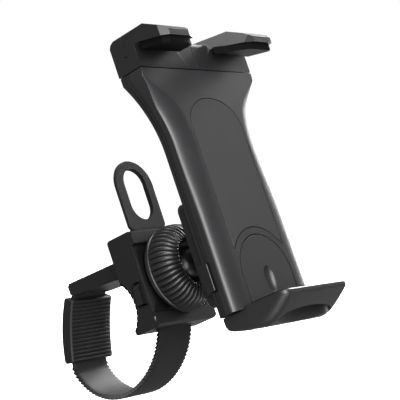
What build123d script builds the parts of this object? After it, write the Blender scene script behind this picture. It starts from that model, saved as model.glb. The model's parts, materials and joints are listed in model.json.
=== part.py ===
"""Phone and tablet mount for a handlebar: spring cradle, ball joint and toothed-strap clamp.

Frame: origin on the bar's centre, +X along the bar, front faces towards -Y, +Z up.
Every piece is drawn upright, with the cradle vertical, and the whole mount then
leans back about the bar by `lean` degrees. Millimetres throughout.
"""
import os
from math import asin, cos, radians, sin, sqrt

from build123d import *

# ---------------------------------------------------------------- driving sizes
lean = 24.0                  # backward lean of the whole mount, degrees

# handlebar and clamp housing
bar_d = 31.8                 # handlebar that the saddle is bored for
bar_fit = 0.1                # radial clearance between the bar and the saddle
liner_t = 1.2                # rubber liner in the saddle
saddle_down = 46.0           # saddle wall, degrees below the bar's front
saddle_up = 46.0             # saddle wall, degrees above the bar's front
block_w = 41.5               # clamp housing, along the bar
block_h = 45.5
block_drop = 13.6            # housing bottom below the bar's centre
block_back = 11.8            # housing rear face in front of the bar's centre
block_t = 11.0               # housing depth, without the cover
cover_t = 2.6                # front cover plate
lip_h = 1.8                  # cover's top and bottom lips, proud of the plate
lip_w = 5.0
arm_w = 25.0                 # arm over the bar
arm_reach = 27.0             # arm's end behind the bar's centre
arm_top = 24.4               # arm's top above the bar's centre
arm_end_t = 6.2
arm_root = 2.5               # arm's root, sunk into the housing
soft = 1.2                   # small bevels on the arm
block_round = 1.6            # housing's rear edges

# strap, loop and sleeve
strap_w = 24.0
strap_t = 2.2
strap_gap = 0.3              # strap in its channel, each side
strap_y = 20.9               # strap plane in front of the bar's centre
tooth_pitch = 2.0
tooth_h = 0.9
eye_r = 2.9
eye_half = 9.0               # strap's eye, each side of the middle
eye_side_gap = 0.3
eye_in = 0.4                 # eye's overhang behind the arm's end
eye_up = 0.1                 # eye's overhang above the arm
strap_pin_r = 1.5
pin_short = 0.8              # pin's ends inside the arm's sides
rib_r = 0.4                  # grooves between the sleeve's ribs
liner_rib_r = 0.35           # grooves along the liner
liner_rib_deg = 9.0
liner_ribs = 4               # grooves each side of the middle one
sleeve_bend_r = 80.0         # the strap's bend inside the sleeve
sleeve_start_deg = 37.5      # strap's heading off straight down where it leaves the arm
sleeve_end_deg = 10.0
kink_r = 8.0
kink_end_deg = -20.0
rear_bend_r = 27.0           # strap's bend behind and below the bar
rear_end_deg = -100.0
loop_top = 68.0              # pull loop's tip above the bar's centre
loop_w = 25.4
loop_hole_w = 15.2
loop_hole_h = 27.0
loop_rim = 4.2
sleeve_len = 31.0
sleeve_t = 6.6
sleeve_w = 29.0
sleeve_skip = 5.2            # bare strap between the arm's pin and the sleeve
sleeve_gap = 0.3
rib_count = 15

# strap release levers, one in each side of the housing
lever_w = 3.3                # across, in the direction of the strap's face
lever_tab_lo = -1.6          # heights about the bar's centre
lever_pivot_z = 8.4
lever_top_z = 18.6
lever_t = 3.2
lever_pin_r = 1.0
lever_gap = 0.35
lever_swing = 7.0            # degrees
lever_out = 0.15             # tab proud of the housing's side
lever_back_in = 2.4          # lever's straight back, in from the housing's side
lever_tab_in = 3.0           # tab's inner edge, in from the housing's side
lever_pin_in = 3.5           # pin, in from the housing's side
lever_pin_end = 2.2          # pin's hold behind the lever
lever_strap_gap = 0.25       # pawl's tip to the strap's edge
lever_front_gap = 0.3
lever_head_room = 0.9        # pocket above the pawl
lever_tab_side = 1.7         # pocket beside the tab at full swing
lever_spring_up = 2.6        # spring above the tab's lower end
lever_spring_r = 0.9
lever_spring_bore = 0.5
lever_seat_r = 1.15
lever_seat_in = 7.4          # bottom of the spring's seat, in from the housing's side
lever_spring_in = 3.9        # spring's outer end, in from the housing's side

# ball joint
joint_z = 10.25              # ball's centre above the bar's centre
ball_y = 35.2                # ball's centre in front of the bar's centre
ball_r = 9.0
socket_gap = 0.06
thread_r = 14.0              # socket's outside, under the nut
thread_gap = 0.06
nut_back_y = 28.4
nut_rim_y = 31.0
nut_front_y = 41.0
nut_rim_r = 20.5
nut_front_r = 18.2
nut_face_w = 1.8             # flat ring round the nut's hollow face
nut_edge = 0.9               # bevel at the nut's back
nut_swell = 0.4              # the dome's bulge
socket_reach = 2.2           # housing's socket in front of the ball's centre
lip_near = 3.0               # nut's lip on the ball, from and to, in front of the centre
lip_far = 4.7
lip_run = 2.0
neck_start = 7.0             # neck's root inside the ball, in front of the centre
neck_end = 11.6
cone_end = 15.0
neck_r = 3.7
stem_r = 7.0
swivel_r = 4.5
swivel_gap = 0.05
swivel_play = 0.1            # end play of the plate on the stem
washer_r = 6.6
washer_t = 0.8
washer_room_r = 7.2          # the washer's pocket in the plate
washer_seat = 2.6            # plate left under the washer
swivel_screw_r = 1.5
swivel_head_r = 3.4
swivel_head_t = 1.3
swivel_screw_len = 8.5
slot_depth = 0.75

# adapter plate between the ball joint and the cradle
plate_w = 49.0
plate_h = 48.0
plate_t = 5.0
plate_low = 26.8             # plate's bottom below the ball's centre
plate_gap = 0.2              # plate to cradle
hub_r = 10.0
hub_t = 5.6
plate_corner = 4.0
plate_edge = 1.0
plate_boss_r = 2.4           # screw bosses inside the rear shell
plate_boss_t = 3.6
plate_screw_bite = 3.0       # plate screws' hold in the shell
mark_low = 5.0               # two raised bars on the plate's left edge
mark_pitch = 3.2
mark_w = 1.6
mark_out = 1.2
mark_in = 0.6                # bars' distance from the plate's faces

# cradle
cradle_front = 77.4          # front face in front of the bar's centre
body_t = 13.3
body_low = 22.5              # shell's bottom below the bar's centre
body_h = 111.5               # shell's bottom to the seam under the jaws
top_w = 80.0
waist_w = 53.0
waist_z = 76.0               # height on the shell where the waist starts to widen
shoulder_z = 107.5           # height on the shell where it is at full width
wall = 2.0
edge_round = 5.0             # front edges of the cradle
rear_round = 1.2             # rear edges of the cradle
front_part = 6.9             # front shell's depth
slide_gap = 0.2

# rubber inlay on the front
inlay_w = 36.0
inlay_low = 27.0
inlay_side_top = 84.0
inlay_rise = 13.6
inlay_t = 1.0
inlay_out = 0.1              # inlay proud of the front face
inlay_gap = 0.05
inlay_rim = 3.4              # shell left between the inlay and the tongue

# foot
tongue_w = 36.0
tongue_top = 32.0
tongue_gap = 0.4
guide_w = 44.0
foot_travel = 25.0
guide_hold = 21.0            # guide left in the shell with the foot pulled out
guide_top = foot_travel + guide_hold
guide_t = 2.0
guide_gap = 0.2
guide_rail_t = 1.4
guide_rail_h = 50.0
foot_w = 49.0
foot_front = 22.0            # foot's front edge, in front of the front face
foot_top = 1.0
foot_edge = 3.8              # height of the foot's front edge
foot_deep = 10.4             # foot's lowest line under the shell's bottom
foot_deep_at = 5.2           # that line, in front of the front face
foot_back = 7.1              # foot's depth at its back
foot_gap = 0.3
slot_w = 40.0                # oval hole for a charging lead
slot_d = 9.6
slot_at = 11.0
foot_corner = 5.0
foot_nose = 0.6              # front edge's slant
foot_rear_bevel = 2.2
foot_pad_t = 0.8
foot_pad_side = 3.0          # foot left bare round the pad
foot_pad_front = 2.4
foot_pad_back = 1.4
foot_pad_corner = 4.0
foot_pad_rim = 0.8           # pad's edge round the lead hole
scoop_w = 6.0
scoop_h = 12.0
scoop_at = 12.0              # scoop's centre above the shell's bottom
scoop_ball = 7.0             # sphere that cuts the scoop
scoop_cut = 4.3              # half width it leaves in the face

# sliding carriage and its jaws
carriage_t = 2.4
carriage_w = 38.0
travel = 60.0
carriage_hold = 21.5         # carriage left in the shell at full travel
carriage_low = body_h - carriage_hold - travel
seam = 0.5
head_mid_top = 12.0          # top of the head between the jaws, above the seam
jaw_top = 16.9               # top of the jaws above the seam
jaw_under = 7.3              # jaws' underside above the seam
jaw_reach = 18.4
jaw_flat = 8.0               # where the jaw's top starts to slope down
jaw_nose = 10.2              # top of the jaw's front edge above the seam
jaw_in_root = 10.8           # jaw's inner side at its root, from the middle
jaw_in_front = 19.3
jaw_out_front = 39.3
jaw_pad_t = 2.2
jaw_pad_in = 1.4
rail_t = 1.6                 # guide rails under the carriage
carriage_gap = 0.5           # carriage to the foot's guide
carriage_neck = 3.0          # carriage above the seam, before the cross bar
bar_low = 2.4                # cross bar above the seam
bar_high = 10.4
bar_side = 5.0               # cross bar's end, in from the jaw's side
bar_gap = 0.1
window_w = 14.0
window_low = 9.0
window_high = 12.0
jaw_back_bevel = 5.0         # top of the jaw, down to the back
jaw_screw_up = 6.6

# springs, buttons and fasteners
spring_r = 1.6
spring_x = 13.0
spring_low = 7.0
spring_high = 3.0            # carriage's post above its lower end
spring_wire = 0.6
post_r = 1.1
spring_hook_gap = 0.05
button_h = 12.4
button_low = 11.4
button_travel = 1.6
button_out = button_travel + 0.4
button_gap = 0.3
button_front_gap = 1.2       # button behind the shells' joint
button_wall = 0.4            # button's inner face inside the wall
button_spring_r = 1.5
button_spring_bore = 1.0
button_edge = 0.5
button_tongue = 2.0          # tongue's ends inside the button's
button_bite = 2.2            # tongue's hold in the plate
button_bite_gap = 0.4
screw_r = 1.1
screw_head_r = 2.2
screw_head_t = 1.5
screw_gap = 0.05
cross_w = 3.0                # cross recess in a screw's head
cross_slot = 0.5
cross_depth = 0.6
boss_r = 2.5
boss_gap = 0.1
housing_screw_len = 11.0
housing_screw_side = 3.6     # screws, in from the housing's sides and ends
housing_screw_end = 4.0
plate_screw_len = 8.0
plate_screw_x = 17.5
plate_screw_heights = (-20.0, 16.5)              # from the ball's centre
shell_screw_len = 10.2
shell_screw_places = ((22.2, 57.0), (27.5, 99.0))
jaw_screw_len = 10.6
jaw_screw_places = (9.0, 28.0)

# ---------------------------------------------------------------- places worked out
saddle_r = bar_d / 2 + bar_fit
bore_r = saddle_r + liner_t
block_bottom = -block_drop
block_top = block_bottom + block_h
back_y = -block_back
part_y = back_y - block_t                       # joint between housing and cover
cover_y = part_y - cover_t
face_y = -cradle_front                          # cradle's front face
rear_y = face_y + body_t
split_y = face_y + front_part
shell_z = -body_low
seam_z = shell_z + body_h
plate_front = rear_y + plate_gap
plate_back = plate_front + plate_t
ball = (0.0, -ball_y, joint_z)
plate_z = joint_z - plate_low
guide_front = face_y + wall + slide_gap
guide_back = guide_front + guide_t
carriage_front = guide_back + carriage_gap
carriage_back = carriage_front + carriage_t
foot_z = shell_z - foot_gap

half_block = block_w / 2
strap_half = strap_w / 2
eye_y = arm_reach - eye_r + eye_in
eye_z = arm_top - eye_r + eye_up
pin_half = arm_w / 2 - pin_short
lever_front = part_y + lever_front_gap
lever_back = lever_front + lever_w
lever_pivot_x = half_block - lever_pin_in
lever_mid_y = (lever_front + lever_back) / 2
lever_tab_swing = (lever_pivot_z - lever_tab_lo) * sin(radians(lever_swing))
lever_tab_room = lever_tab_in + lever_tab_swing + lever_tab_side
lever_spring_z = lever_tab_lo + lever_spring_up

hub_end = plate_back + hub_t
pocket_floor = plate_back - washer_seat         # seat of the swivel's washer in the plate
shoulder_rise = shoulder_z - waist_z
flare = (top_w - waist_w) / 2
waist_r = (flare ** 2 + shoulder_rise ** 2) / (2 * flare)
rail_in = carriage_w / 2 + slide_gap
spring_y = (carriage_back + rear_y - wall) / 2
button_y0 = split_y + button_front_gap
button_y1 = plate_front + button_bite
button_z0 = shell_z + button_low
button_z1 = button_z0 + button_h
button_in = -waist_w / 2 + wall - button_wall           # button's inner face

# screw places, as (x, z)
housing_screws = [(side * (half_block - housing_screw_side), z) for side in (-1, 1)
                  for z in (block_bottom + housing_screw_end, block_top - housing_screw_end)]
plate_screws = [(side * plate_screw_x, joint_z + up) for side in (-1, 1)
                for up in plate_screw_heights]
shell_screws = [(side * x, shell_z + z) for x, z in shell_screw_places for side in (-1, 1)]
jaw_screws = [(side * x, seam_z + jaw_screw_up) for x in jaw_screw_places for side in (-1, 1)]

os.makedirs("parts", exist_ok=True)


# ---------------------------------------------------------------- small helpers
def block(x0, x1, y0, y1, z0, z1):
    """Box between two corners."""
    return Pos((x0 + x1) / 2, (y0 + y1) / 2, (z0 + z1) / 2) * Box(x1 - x0, y1 - y0, z1 - z0)


def rod_y(x, z, r, y0, y1):
    """Round bar along Y."""
    return Solid.make_cylinder(r, y1 - y0, Plane(origin=(x, y0, z), z_dir=(0, 1, 0)))


def rod_x(y, z, r, x0, x1):
    """Round bar along X."""
    return Solid.make_cylinder(r, x1 - x0, Plane(origin=(x0, y, z), z_dir=(1, 0, 0)))


def rod_z(x, y, r, z0, z1):
    """Round bar along Z."""
    return Solid.make_cylinder(r, z1 - z0, Plane(origin=(x, y, z0)))


def side_slab(points, x0, x1):
    """Prism along X from a profile of (y, z) points."""
    face = make_face(Polyline(*points, close=True))
    return extrude(Plane.YZ.offset(x0) * face, x1 - x0)


def front_slab(face, y_front, y_back):
    """Prism along Y from a face of (x, z) points."""
    return extrude(Plane.XZ.offset(-y_back) * face, y_back - y_front)


def mirrored(shape):
    """The same piece on the other side of the middle."""
    return shape.mirror(Plane.YZ)


def save(shape, name):
    """Lean the finished piece back and write it."""
    export_step(Rot(-lean, 0, 0) * shape, f"parts/{name}.step")


def countersunk(x, z, y_head, length, towards):
    """Screw with its head at y_head, pointing along Y in the given direction."""
    y_in = y_head + towards * screw_head_t
    y_tip = y_head + towards * length
    head = rod_y(x, z, screw_head_r, min(y_head, y_in), max(y_head, y_in))
    shank = rod_y(x, z, screw_r, min(y_in, y_tip), max(y_in, y_tip))
    y0, y1 = y_head - cross_depth, y_head + cross_depth
    drive = block(x - cross_w / 2, x + cross_w / 2, y0, y1, z - cross_slot / 2, z + cross_slot / 2)
    drive += block(x - cross_slot / 2, x + cross_slot / 2, y0, y1, z - cross_w / 2, z + cross_w / 2)
    return head + shank - drive


def screw_hole(x, z, y_head, length, towards):
    """Clear hole and counterbore for the same screw."""
    y_in = y_head + towards * screw_head_t
    y_tip = y_head + towards * (length + screw_gap)
    y_out = y_head - towards * 1.0
    hole = rod_y(x, z, screw_head_r + screw_gap, min(y_out, y_in), max(y_out, y_in))
    return hole + rod_y(x, z, screw_r + screw_gap, min(y_in, y_tip), max(y_in, y_tip))


# ---------------------------------------------------------------- strap route
def strap_route():
    """The strap's centre line in (y, z), as arcs and a straight run.

    It starts at the pin in the arm, bends down through the sleeve, round under
    the bar and up through the housing to the pull loop.
    """
    def heading(deg):
        return (sin(radians(deg)), -cos(radians(deg)))

    start = (eye_y, eye_z)
    arcs = [(sleeve_bend_r, sleeve_start_deg, sleeve_end_deg),
            (kink_r, sleeve_end_deg, kink_end_deg),
            (rear_bend_r, kink_end_deg, rear_end_deg)]
    y, z = start
    for r, a, b in arcs:
        y += r * (cos(radians(b)) - cos(radians(a)))
        z += r * (sin(radians(b)) - sin(radians(a)))
    front_r = (y + strap_y) / (1 + cos(radians(rear_end_deg)))
    arcs.append((front_r, rear_end_deg, -180.0))
    edges = []
    point = start
    for r, a, b in arcs:
        arc = JernArc(start=point, tangent=heading(a), radius=r, arc_size=b - a)
        edges.append(arc)
        point = (arc.position_at(1).X, arc.position_at(1).Y)
    return edges, point


route_edges, route_end = strap_route()
route_top_z = route_end[1]


def band(edges, thickness, x0, x1):
    """A strap-like solid: the route thickened by `thickness` and extruded along X."""
    solids = []
    for edge in edges:
        face = trace_band(edge, thickness)
        solids.append(extrude(Plane.YZ.offset(x0) * face, x1 - x0))
    whole = solids[0]
    for piece in solids[1:]:
        whole += piece
    return whole


def trace_band(edge, thickness):
    """Face that lies `thickness / 2` each side of an arc or a line."""
    ends = []
    for t in (0, 0.5, 1):
        p = edge.position_at(t)
        d = edge.tangent_at(t)
        n = Vector(-d.Y, d.X, 0).normalized() * (thickness / 2)
        ends.append((p + n, p - n))
    (a0, b0), (am, bm), (a1, b1) = ends
    if edge.geom_type == GeomType.LINE:
        return make_face(Polyline(a0, a1, b1, b0, close=True))
    lines = [ThreePointArc(a0, am, a1), Line(a1, b1), ThreePointArc(b1, bm, b0), Line(b0, a0)]
    return make_face(Curve() + lines)


def ring_sector(r_in, r_out, low_deg, high_deg, x0, x1):
    """Part of a tube round the bar's axis, between two angles from the front."""
    tube = rod_x(0, 0, r_out, x0, x1) - rod_x(0, 0, r_in, x0 - 1, x1 + 1)
    far = 3 * r_out
    wedge = [(0, 0), (-far * cos(radians(low_deg)), -far * sin(radians(low_deg))),
             (-far, 0), (-far * cos(radians(high_deg)), far * sin(radians(high_deg)))]
    return tube & side_slab(wedge, x0 - 1, x1 + 1)


# ---------------------------------------------------------------- clamp housing
def strap_space(clearance):
    """Room for the strap through the housing, or the strap's own band."""
    half = strap_half + clearance
    thickness = strap_t + 2 * clearance
    lower = band([route_edges[-1]], thickness, -half, half)
    upper = block(-half, half, -strap_y - thickness / 2, -strap_y + thickness / 2,
                  route_top_z - 0.01, block_top + 2)
    return lower + upper


def lever_outline(grow):
    """Face of a release lever in (x, z), on the +X side, grown by a clearance."""
    tip = strap_half + lever_strap_gap
    side = half_block + lever_out
    back = half_block - lever_back_in
    pts = [(side, lever_tab_lo), (side, lever_pivot_z - 2.4),
           (back + 0.8, lever_pivot_z + 1.2), (back, lever_top_z),
           (tip + 1.4, lever_top_z), (tip, lever_top_z - 1.0), (tip, lever_top_z - 1.7),
           (back - lever_t, lever_top_z - 2.4), (back + 0.2 - lever_t, lever_pivot_z),
           (half_block - lever_tab_in, lever_tab_lo)]
    face = make_face(Polyline(*pts, close=True))
    return offset(face, grow, kind=Kind.INTERSECTION) if grow else face


def lever_pocket():
    """Room for the +X lever and its swing."""
    z_mid = lever_pivot_z + 0.6
    low = block(half_block - lever_tab_room, half_block + 2, part_y - 0.5, lever_back + lever_gap,
                lever_tab_lo - 0.6, z_mid)
    high = block(strap_half - 0.5, half_block - 0.85, part_y - 0.5, lever_back + lever_gap,
                 z_mid - 0.5, lever_top_z + lever_head_room)
    seat = rod_x(lever_mid_y, lever_spring_z, lever_seat_r,
                 half_block - lever_seat_in, half_block - lever_tab_in)
    return low + high + lever_pin() + seat


def clamp_body():
    """Rear half of the housing: saddle, arm over the bar and the strap's channel."""
    shape = block(-half_block, half_block, part_y, back_y, block_bottom, block_top)
    shape = fillet(shape.edges().filter_by(Axis.X).group_by(Axis.Y)[-1], block_round)
    arm_low = arm_top - arm_end_t
    root_y = back_y - arm_root
    arm = [(root_y, arm_top - soft), (arm_reach - soft, arm_top), (arm_reach, arm_top - soft),
           (arm_reach, arm_low + soft), (arm_reach - soft, arm_low), (0, saddle_r), (0, 2),
           (root_y, 2)]
    shape += side_slab(arm, -arm_w / 2, arm_w / 2) - rod_x(0, 0, saddle_r, -arm_w, arm_w)
    shape -= ring_sector(1.0, bore_r, saddle_down, saddle_up, -half_block - 1, half_block + 1)
    notch_half = eye_half + eye_side_gap
    notch = block(-notch_half, notch_half, eye_y - eye_r - 0.5, arm_reach + 1,
                  arm_low - 1, arm_top + 1)
    shape -= notch
    shape -= rod_x(eye_y, eye_z, strap_pin_r, -pin_half, pin_half)
    shape -= strap_space(strap_gap)
    shape -= lever_pocket()
    shape -= mirrored(lever_pocket())
    for x, z in housing_screws:
        shape -= rod_y(x, z, screw_r, part_y - 1, cover_y - lip_h + housing_screw_len + 1)
    return shape


def clamp_cover():
    """Front plate of the housing with its lips and the ball joint's threaded socket."""
    shape = block(-half_block, half_block, cover_y, part_y, block_bottom, block_top)
    for z0, z1 in ((block_bottom, block_bottom + lip_w), (block_top - lip_w, block_top)):
        bevel = lip_h / 2
        lip = [(cover_y, z0), (cover_y - lip_h, z0 + bevel), (cover_y - lip_h, z1 - bevel),
               (cover_y, z1)]
        shape += side_slab(lip, -half_block, half_block)
    socket_end = -ball_y - socket_reach
    shape += rod_y(0, joint_z, thread_r, socket_end, cover_y)
    shape -= Pos(*ball) * Sphere(ball_r + socket_gap)
    shape -= rod_y(0, joint_z, ball_r + socket_gap, socket_end - 1, -ball_y)
    for x, z in housing_screws:
        shape -= screw_hole(x, z, cover_y - lip_h, housing_screw_len, 1)
    return shape


def saddle_liner():
    """Ribbed rubber sheet that grips the bar."""
    shape = ring_sector(saddle_r, bore_r, saddle_down - 0.5, saddle_up - 0.5,
                        -half_block + 0.5, half_block - 0.5)
    for k in range(-liner_ribs, liner_ribs + 1):
        angle = radians(liner_rib_deg * k)
        y, z = -saddle_r * cos(angle), saddle_r * sin(angle)
        shape -= rod_x(y, z, liner_rib_r, -half_block, half_block)
    return shape


def strap():
    """Moulded strap: eye on the arm's pin, the run round the bar, teeth and pull loop."""
    core = strap_half - tooth_h
    shape = band(route_edges, strap_t, -core, core)
    eye = rod_x(eye_y, eye_z, eye_r, -eye_half, eye_half)
    cut_sides = block(eye_half, strap_half + 1, eye_y - 6, eye_y + sleeve_skip - 2.2,
                      eye_z - 5, eye_z + 6)
    shape -= cut_sides + mirrored(cut_sides)
    shape += eye
    shape -= rod_x(eye_y, eye_z, strap_pin_r, -strap_half - 1, strap_half + 1)
    y0, y1 = -strap_y - strap_t / 2, -strap_y + strap_t / 2
    straight_top = loop_top - loop_w / 2 - loop_hole_h + loop_hole_w
    shape += block(-core, core, y0, y1, route_top_z, straight_top)
    loop = SlotCenterToCenter(2 * (loop_top - loop_w / 2 - straight_top), loop_w, rotation=90)
    hole_high = loop_top - loop_rim - loop_hole_w / 2
    hole_low = hole_high - (loop_hole_h - loop_hole_w)
    hole = SlotCenterToCenter(hole_high - hole_low, loop_hole_w, rotation=90)
    loop_face = Pos(0, straight_top) * loop & Pos(0, straight_top + loop_top) * Rectangle(
        2 * loop_w, 2 * loop_top)
    shape += front_slab(loop_face, y0, y1)
    shape -= front_slab(Pos(0, (hole_high + hole_low) / 2) * hole, y0 - 1, y1 + 1)
    tooth = make_face(Polyline((core, -0.4 * tooth_pitch), (strap_half, 0),
                               (core, 0.4 * tooth_pitch), close=True))
    teeth = []
    count = int((straight_top - 4 - route_top_z) / tooth_pitch)
    for k in range(count):
        one = front_slab(Pos(0, route_top_z + (k + 0.5) * tooth_pitch) * tooth, y0, y1)
        teeth += [one, mirrored(one)]
    return shape + teeth


def strap_pin():
    """Steel pin that carries the strap's eye in the arm."""
    return rod_x(eye_y, eye_z, strap_pin_r, -pin_half, pin_half)


def sleeve():
    """Ribbed rubber sleeve that slides along the strap."""
    arc_len = sleeve_bend_r * radians(sleeve_start_deg - sleeve_end_deg)
    t0, t1 = sleeve_skip / arc_len, (sleeve_skip + sleeve_len) / arc_len
    run = route_edges[0].trim(t0, t1)
    longer = route_edges[0].trim(max(t0 - 0.05, 0), min(t1 + 0.05, 1))
    shape = band([run], sleeve_t, -sleeve_w / 2, sleeve_w / 2)
    half = strap_half + sleeve_gap
    shape -= band([longer], strap_t + 2 * sleeve_gap, -half, half)
    for k in range(rib_count):
        t = t0 + (t1 - t0) * (k + 0.75) / (rib_count + 0.5)
        p = route_edges[0].position_at(t)
        d = route_edges[0].tangent_at(t)
        inward = Vector(d.Y, -d.X, 0)
        q = p + inward * (sleeve_t / 2)
        shape -= rod_x(q.X, q.Y, rib_r, -half, half)
    return shape


# ---------------------------------------------------------------- release levers
def release_lever():
    """Rocking pawl on the +X side; its tab shows in the housing's side."""
    shape = front_slab(lever_outline(0), lever_front, lever_back)
    bore = rod_y(lever_pivot_x, lever_pivot_z, lever_pin_r + swivel_gap,
                 lever_front - 1, lever_back + 1)
    return shape - bore


def lever_pin():
    """Steel pin of the +X lever."""
    return rod_y(lever_pivot_x, lever_pivot_z, lever_pin_r, part_y, lever_back + lever_pin_end)


def lever_spring():
    """Small coil that pushes the +X lever's tab out."""
    x0, x1 = half_block - lever_seat_in + 0.1, half_block - lever_spring_in
    coil = rod_x(lever_mid_y, lever_spring_z, lever_spring_r, x0, x1)
    return coil - rod_x(lever_mid_y, lever_spring_z, lever_spring_bore, x0 - 1, x1 + 1)


# ---------------------------------------------------------------- ball joint
def turned(points, arcs=()):
    """Solid of revolution about the ball joint's axis, from (radius, y) points.

    Each arc replaces the run that starts at its index, through a middle point.
    """
    lines = []
    for k, p in enumerate(points):
        q = points[(k + 1) % len(points)]
        middle = dict(arcs).get(k)
        lines.append(ThreePointArc(p, middle, q) if middle else Line(p, q))
    return Pos(0, 0, joint_z) * revolve(make_face(Curve() + lines), Axis.Y)


def locking_nut():
    """Domed nut that squeezes the ball in its socket."""
    bore = thread_r + thread_gap
    lip_back = -ball_y - lip_near
    lip_front = -ball_y - lip_far
    mouth = sqrt((ball_r + socket_gap) ** 2 - lip_far ** 2)
    dome_mid = (nut_rim_r - nut_edge, -(nut_rim_y + nut_front_y) / 2 - nut_swell)
    shape = turned([(bore, -nut_back_y), (nut_rim_r - nut_edge, -nut_back_y),
                    (nut_rim_r, -nut_back_y - nut_edge), (nut_rim_r, -nut_rim_y),
                    (nut_front_r, -nut_front_y), (nut_front_r - nut_face_w, -nut_front_y),
                    (nut_front_r - 2 * nut_face_w, lip_front), (mouth, lip_front),
                    (mouth - lip_run, lip_back), (bore, lip_back)],
                   arcs=[(3, dome_mid)])
    return shape - Pos(*ball) * Sphere(ball_r + socket_gap)


def ball_stem():
    """Stem on the ball, ending in the swivel's journal."""
    shoulder, end = hub_end + swivel_play, pocket_floor + swivel_play
    shape = turned([(0, -ball_y - neck_start), (neck_r, -ball_y - neck_start),
                    (neck_r, -ball_y - neck_end), (stem_r, -ball_y - cone_end),
                    (stem_r, shoulder), (swivel_r, shoulder), (swivel_r, end), (0, end)])
    shape -= Pos(*ball) * Sphere(ball_r + swivel_gap)
    return shape - rod_y(0, joint_z, swivel_screw_r, end - 1, pocket_floor + swivel_screw_len)


def adapter_plate():
    """Plate on the swivel, screwed to the cradle's back."""
    shape = block(-plate_w / 2, plate_w / 2, plate_front, plate_back, plate_z, plate_z + plate_h)
    shape = fillet(shape.edges().filter_by(Axis.Y), plate_corner)
    shape = fillet(shape.faces().sort_by(Axis.Y)[-1].edges(), plate_edge)
    shape += rod_y(0, joint_z, hub_r, plate_back - 1, hub_end)
    side = -plate_w / 2
    for k in range(2):
        z = plate_z + mark_low + mark_pitch * k
        shape += block(side - mark_out, side + 1, plate_front + mark_in, plate_back - mark_in,
                       z, z + mark_w)
    shape -= rod_y(0, joint_z, swivel_r + swivel_gap, plate_front - 1, hub_end + 1)
    shape -= rod_y(0, joint_z, washer_room_r, plate_front - 1, pocket_floor)
    tongue_end = button_tongue - button_bite_gap
    shape -= block(side - 2, side + 3, plate_front - 1, button_y1 + button_bite_gap,
                   button_z0 + tongue_end, button_z1 - tongue_end)
    for x, z in plate_screws:
        shape -= screw_hole(x, z, plate_back, plate_screw_len, -1)
    return shape


def swivel_screw():
    """Screw and washer that keep the plate on the stem."""
    washer_end = pocket_floor - screw_gap
    head_end = washer_end - washer_t
    washer = rod_y(0, joint_z, washer_r, head_end, washer_end)
    washer -= rod_y(0, joint_z, swivel_screw_r + screw_gap, head_end - 1, washer_end + 1)
    y_head = head_end - swivel_head_t
    head = rod_y(0, joint_z, swivel_head_r, y_head, head_end)
    head -= block(-swivel_head_r, swivel_head_r, y_head - 1, y_head + slot_depth,
                  joint_z - 0.4, joint_z + 0.4)
    shank = rod_y(0, joint_z, swivel_screw_r, head_end, pocket_floor + swivel_screw_len)
    return washer, head + shank


# ---------------------------------------------------------------- cradle shells
def body_outline(inset, z_low=None, z_high=None):
    """The cradle's outline in (x, z): parallel waist, flare and full-width top."""
    low = shell_z if z_low is None else z_low
    high = seam_z if z_high is None else z_high
    r = waist_r + inset
    sweep = asin(shoulder_rise / waist_r)
    centre_x, centre_z = waist_w / 2 + waist_r, shell_z + waist_z
    waist_x = waist_w / 2 - inset

    def on_arc(angle):
        return (centre_x - r * cos(angle), centre_z + r * sin(angle))

    middle, end = on_arc(sweep / 2), on_arc(sweep)
    half = [Line((0, low), (waist_x, low)), Line((waist_x, low), (waist_x, centre_z)),
            ThreePointArc((waist_x, centre_z), middle, end), Line(end, (end[0], high)),
            Line((end[0], high), (0, high))]
    left = [edge.mirror(Plane.YZ) for edge in half]
    return make_face(Curve() + half + left)


def arch(half, top, low):
    """Round-topped outline in (x, z)."""
    z_low, z_top = shell_z + low, shell_z + top
    return make_face(Curve() + [Line((-half, z_low), (half, z_low)),
                                Line((half, z_low), (half, z_top - half)),
                                ThreePointArc((half, z_top - half), (0, z_top), (-half, z_top - half)),
                                Line((-half, z_top - half), (-half, z_low))])


def inlay_outline(gap):
    """Outline of the rubber inlay: elliptical top, hollow bottom round the foot's tongue."""
    half = inlay_w / 2 + gap
    low, side_top = shell_z + inlay_low - 14, shell_z + inlay_side_top
    side = Pos(0, (low + side_top) / 2) * Rectangle(2 * half, side_top - low)
    top = Pos(0, side_top) * Ellipse(half, inlay_rise + gap)
    below = Pos(0, shell_z + tongue_top - tongue_w / 2) * Circle(
        tongue_w / 2 + tongue_gap + inlay_rim - gap)
    corners = Pos(0, shell_z + inlay_low - 20 - gap) * Rectangle(4 * half, 40)
    return side + top - below - corners


def front_shell():
    """Front half of the cradle, with the arch for the foot's tongue."""
    shape = front_slab(body_outline(0), face_y, split_y)
    front_edges = shape.faces().sort_by(Axis.Y)[0].edges()
    long_edges = [e for e in front_edges
                  if abs(e.center().X) > waist_w / 2 - 1 and e.center().Z < shell_z + shoulder_z - 2]
    shape = fillet(long_edges, edge_round)
    shape -= front_slab(body_outline(wall, shell_z - 1, seam_z + 1), face_y + wall, split_y + 1)
    shape -= front_slab(arch(tongue_w / 2 + tongue_gap, tongue_top + tongue_gap, -1),
                        face_y - 1, face_y + wall + 1)
    shape -= front_slab(inlay_outline(inlay_gap), face_y - 1, face_y + inlay_t)
    rail_x = guide_w / 2 + guide_gap
    rail = block(rail_x, rail_x + guide_rail_t, face_y + wall - 0.5, guide_back,
                 shell_z, shell_z + guide_rail_h)
    shape += rail + mirrored(rail)
    for x, z in shell_screws:
        boss = rod_y(x, z, boss_r, face_y + wall - 0.5, split_y)
        shape += boss & front_slab(body_outline(0.5), face_y, split_y)
        shape -= rod_y(x, z, screw_r, face_y + wall, split_y + 1)
    return shape


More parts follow.
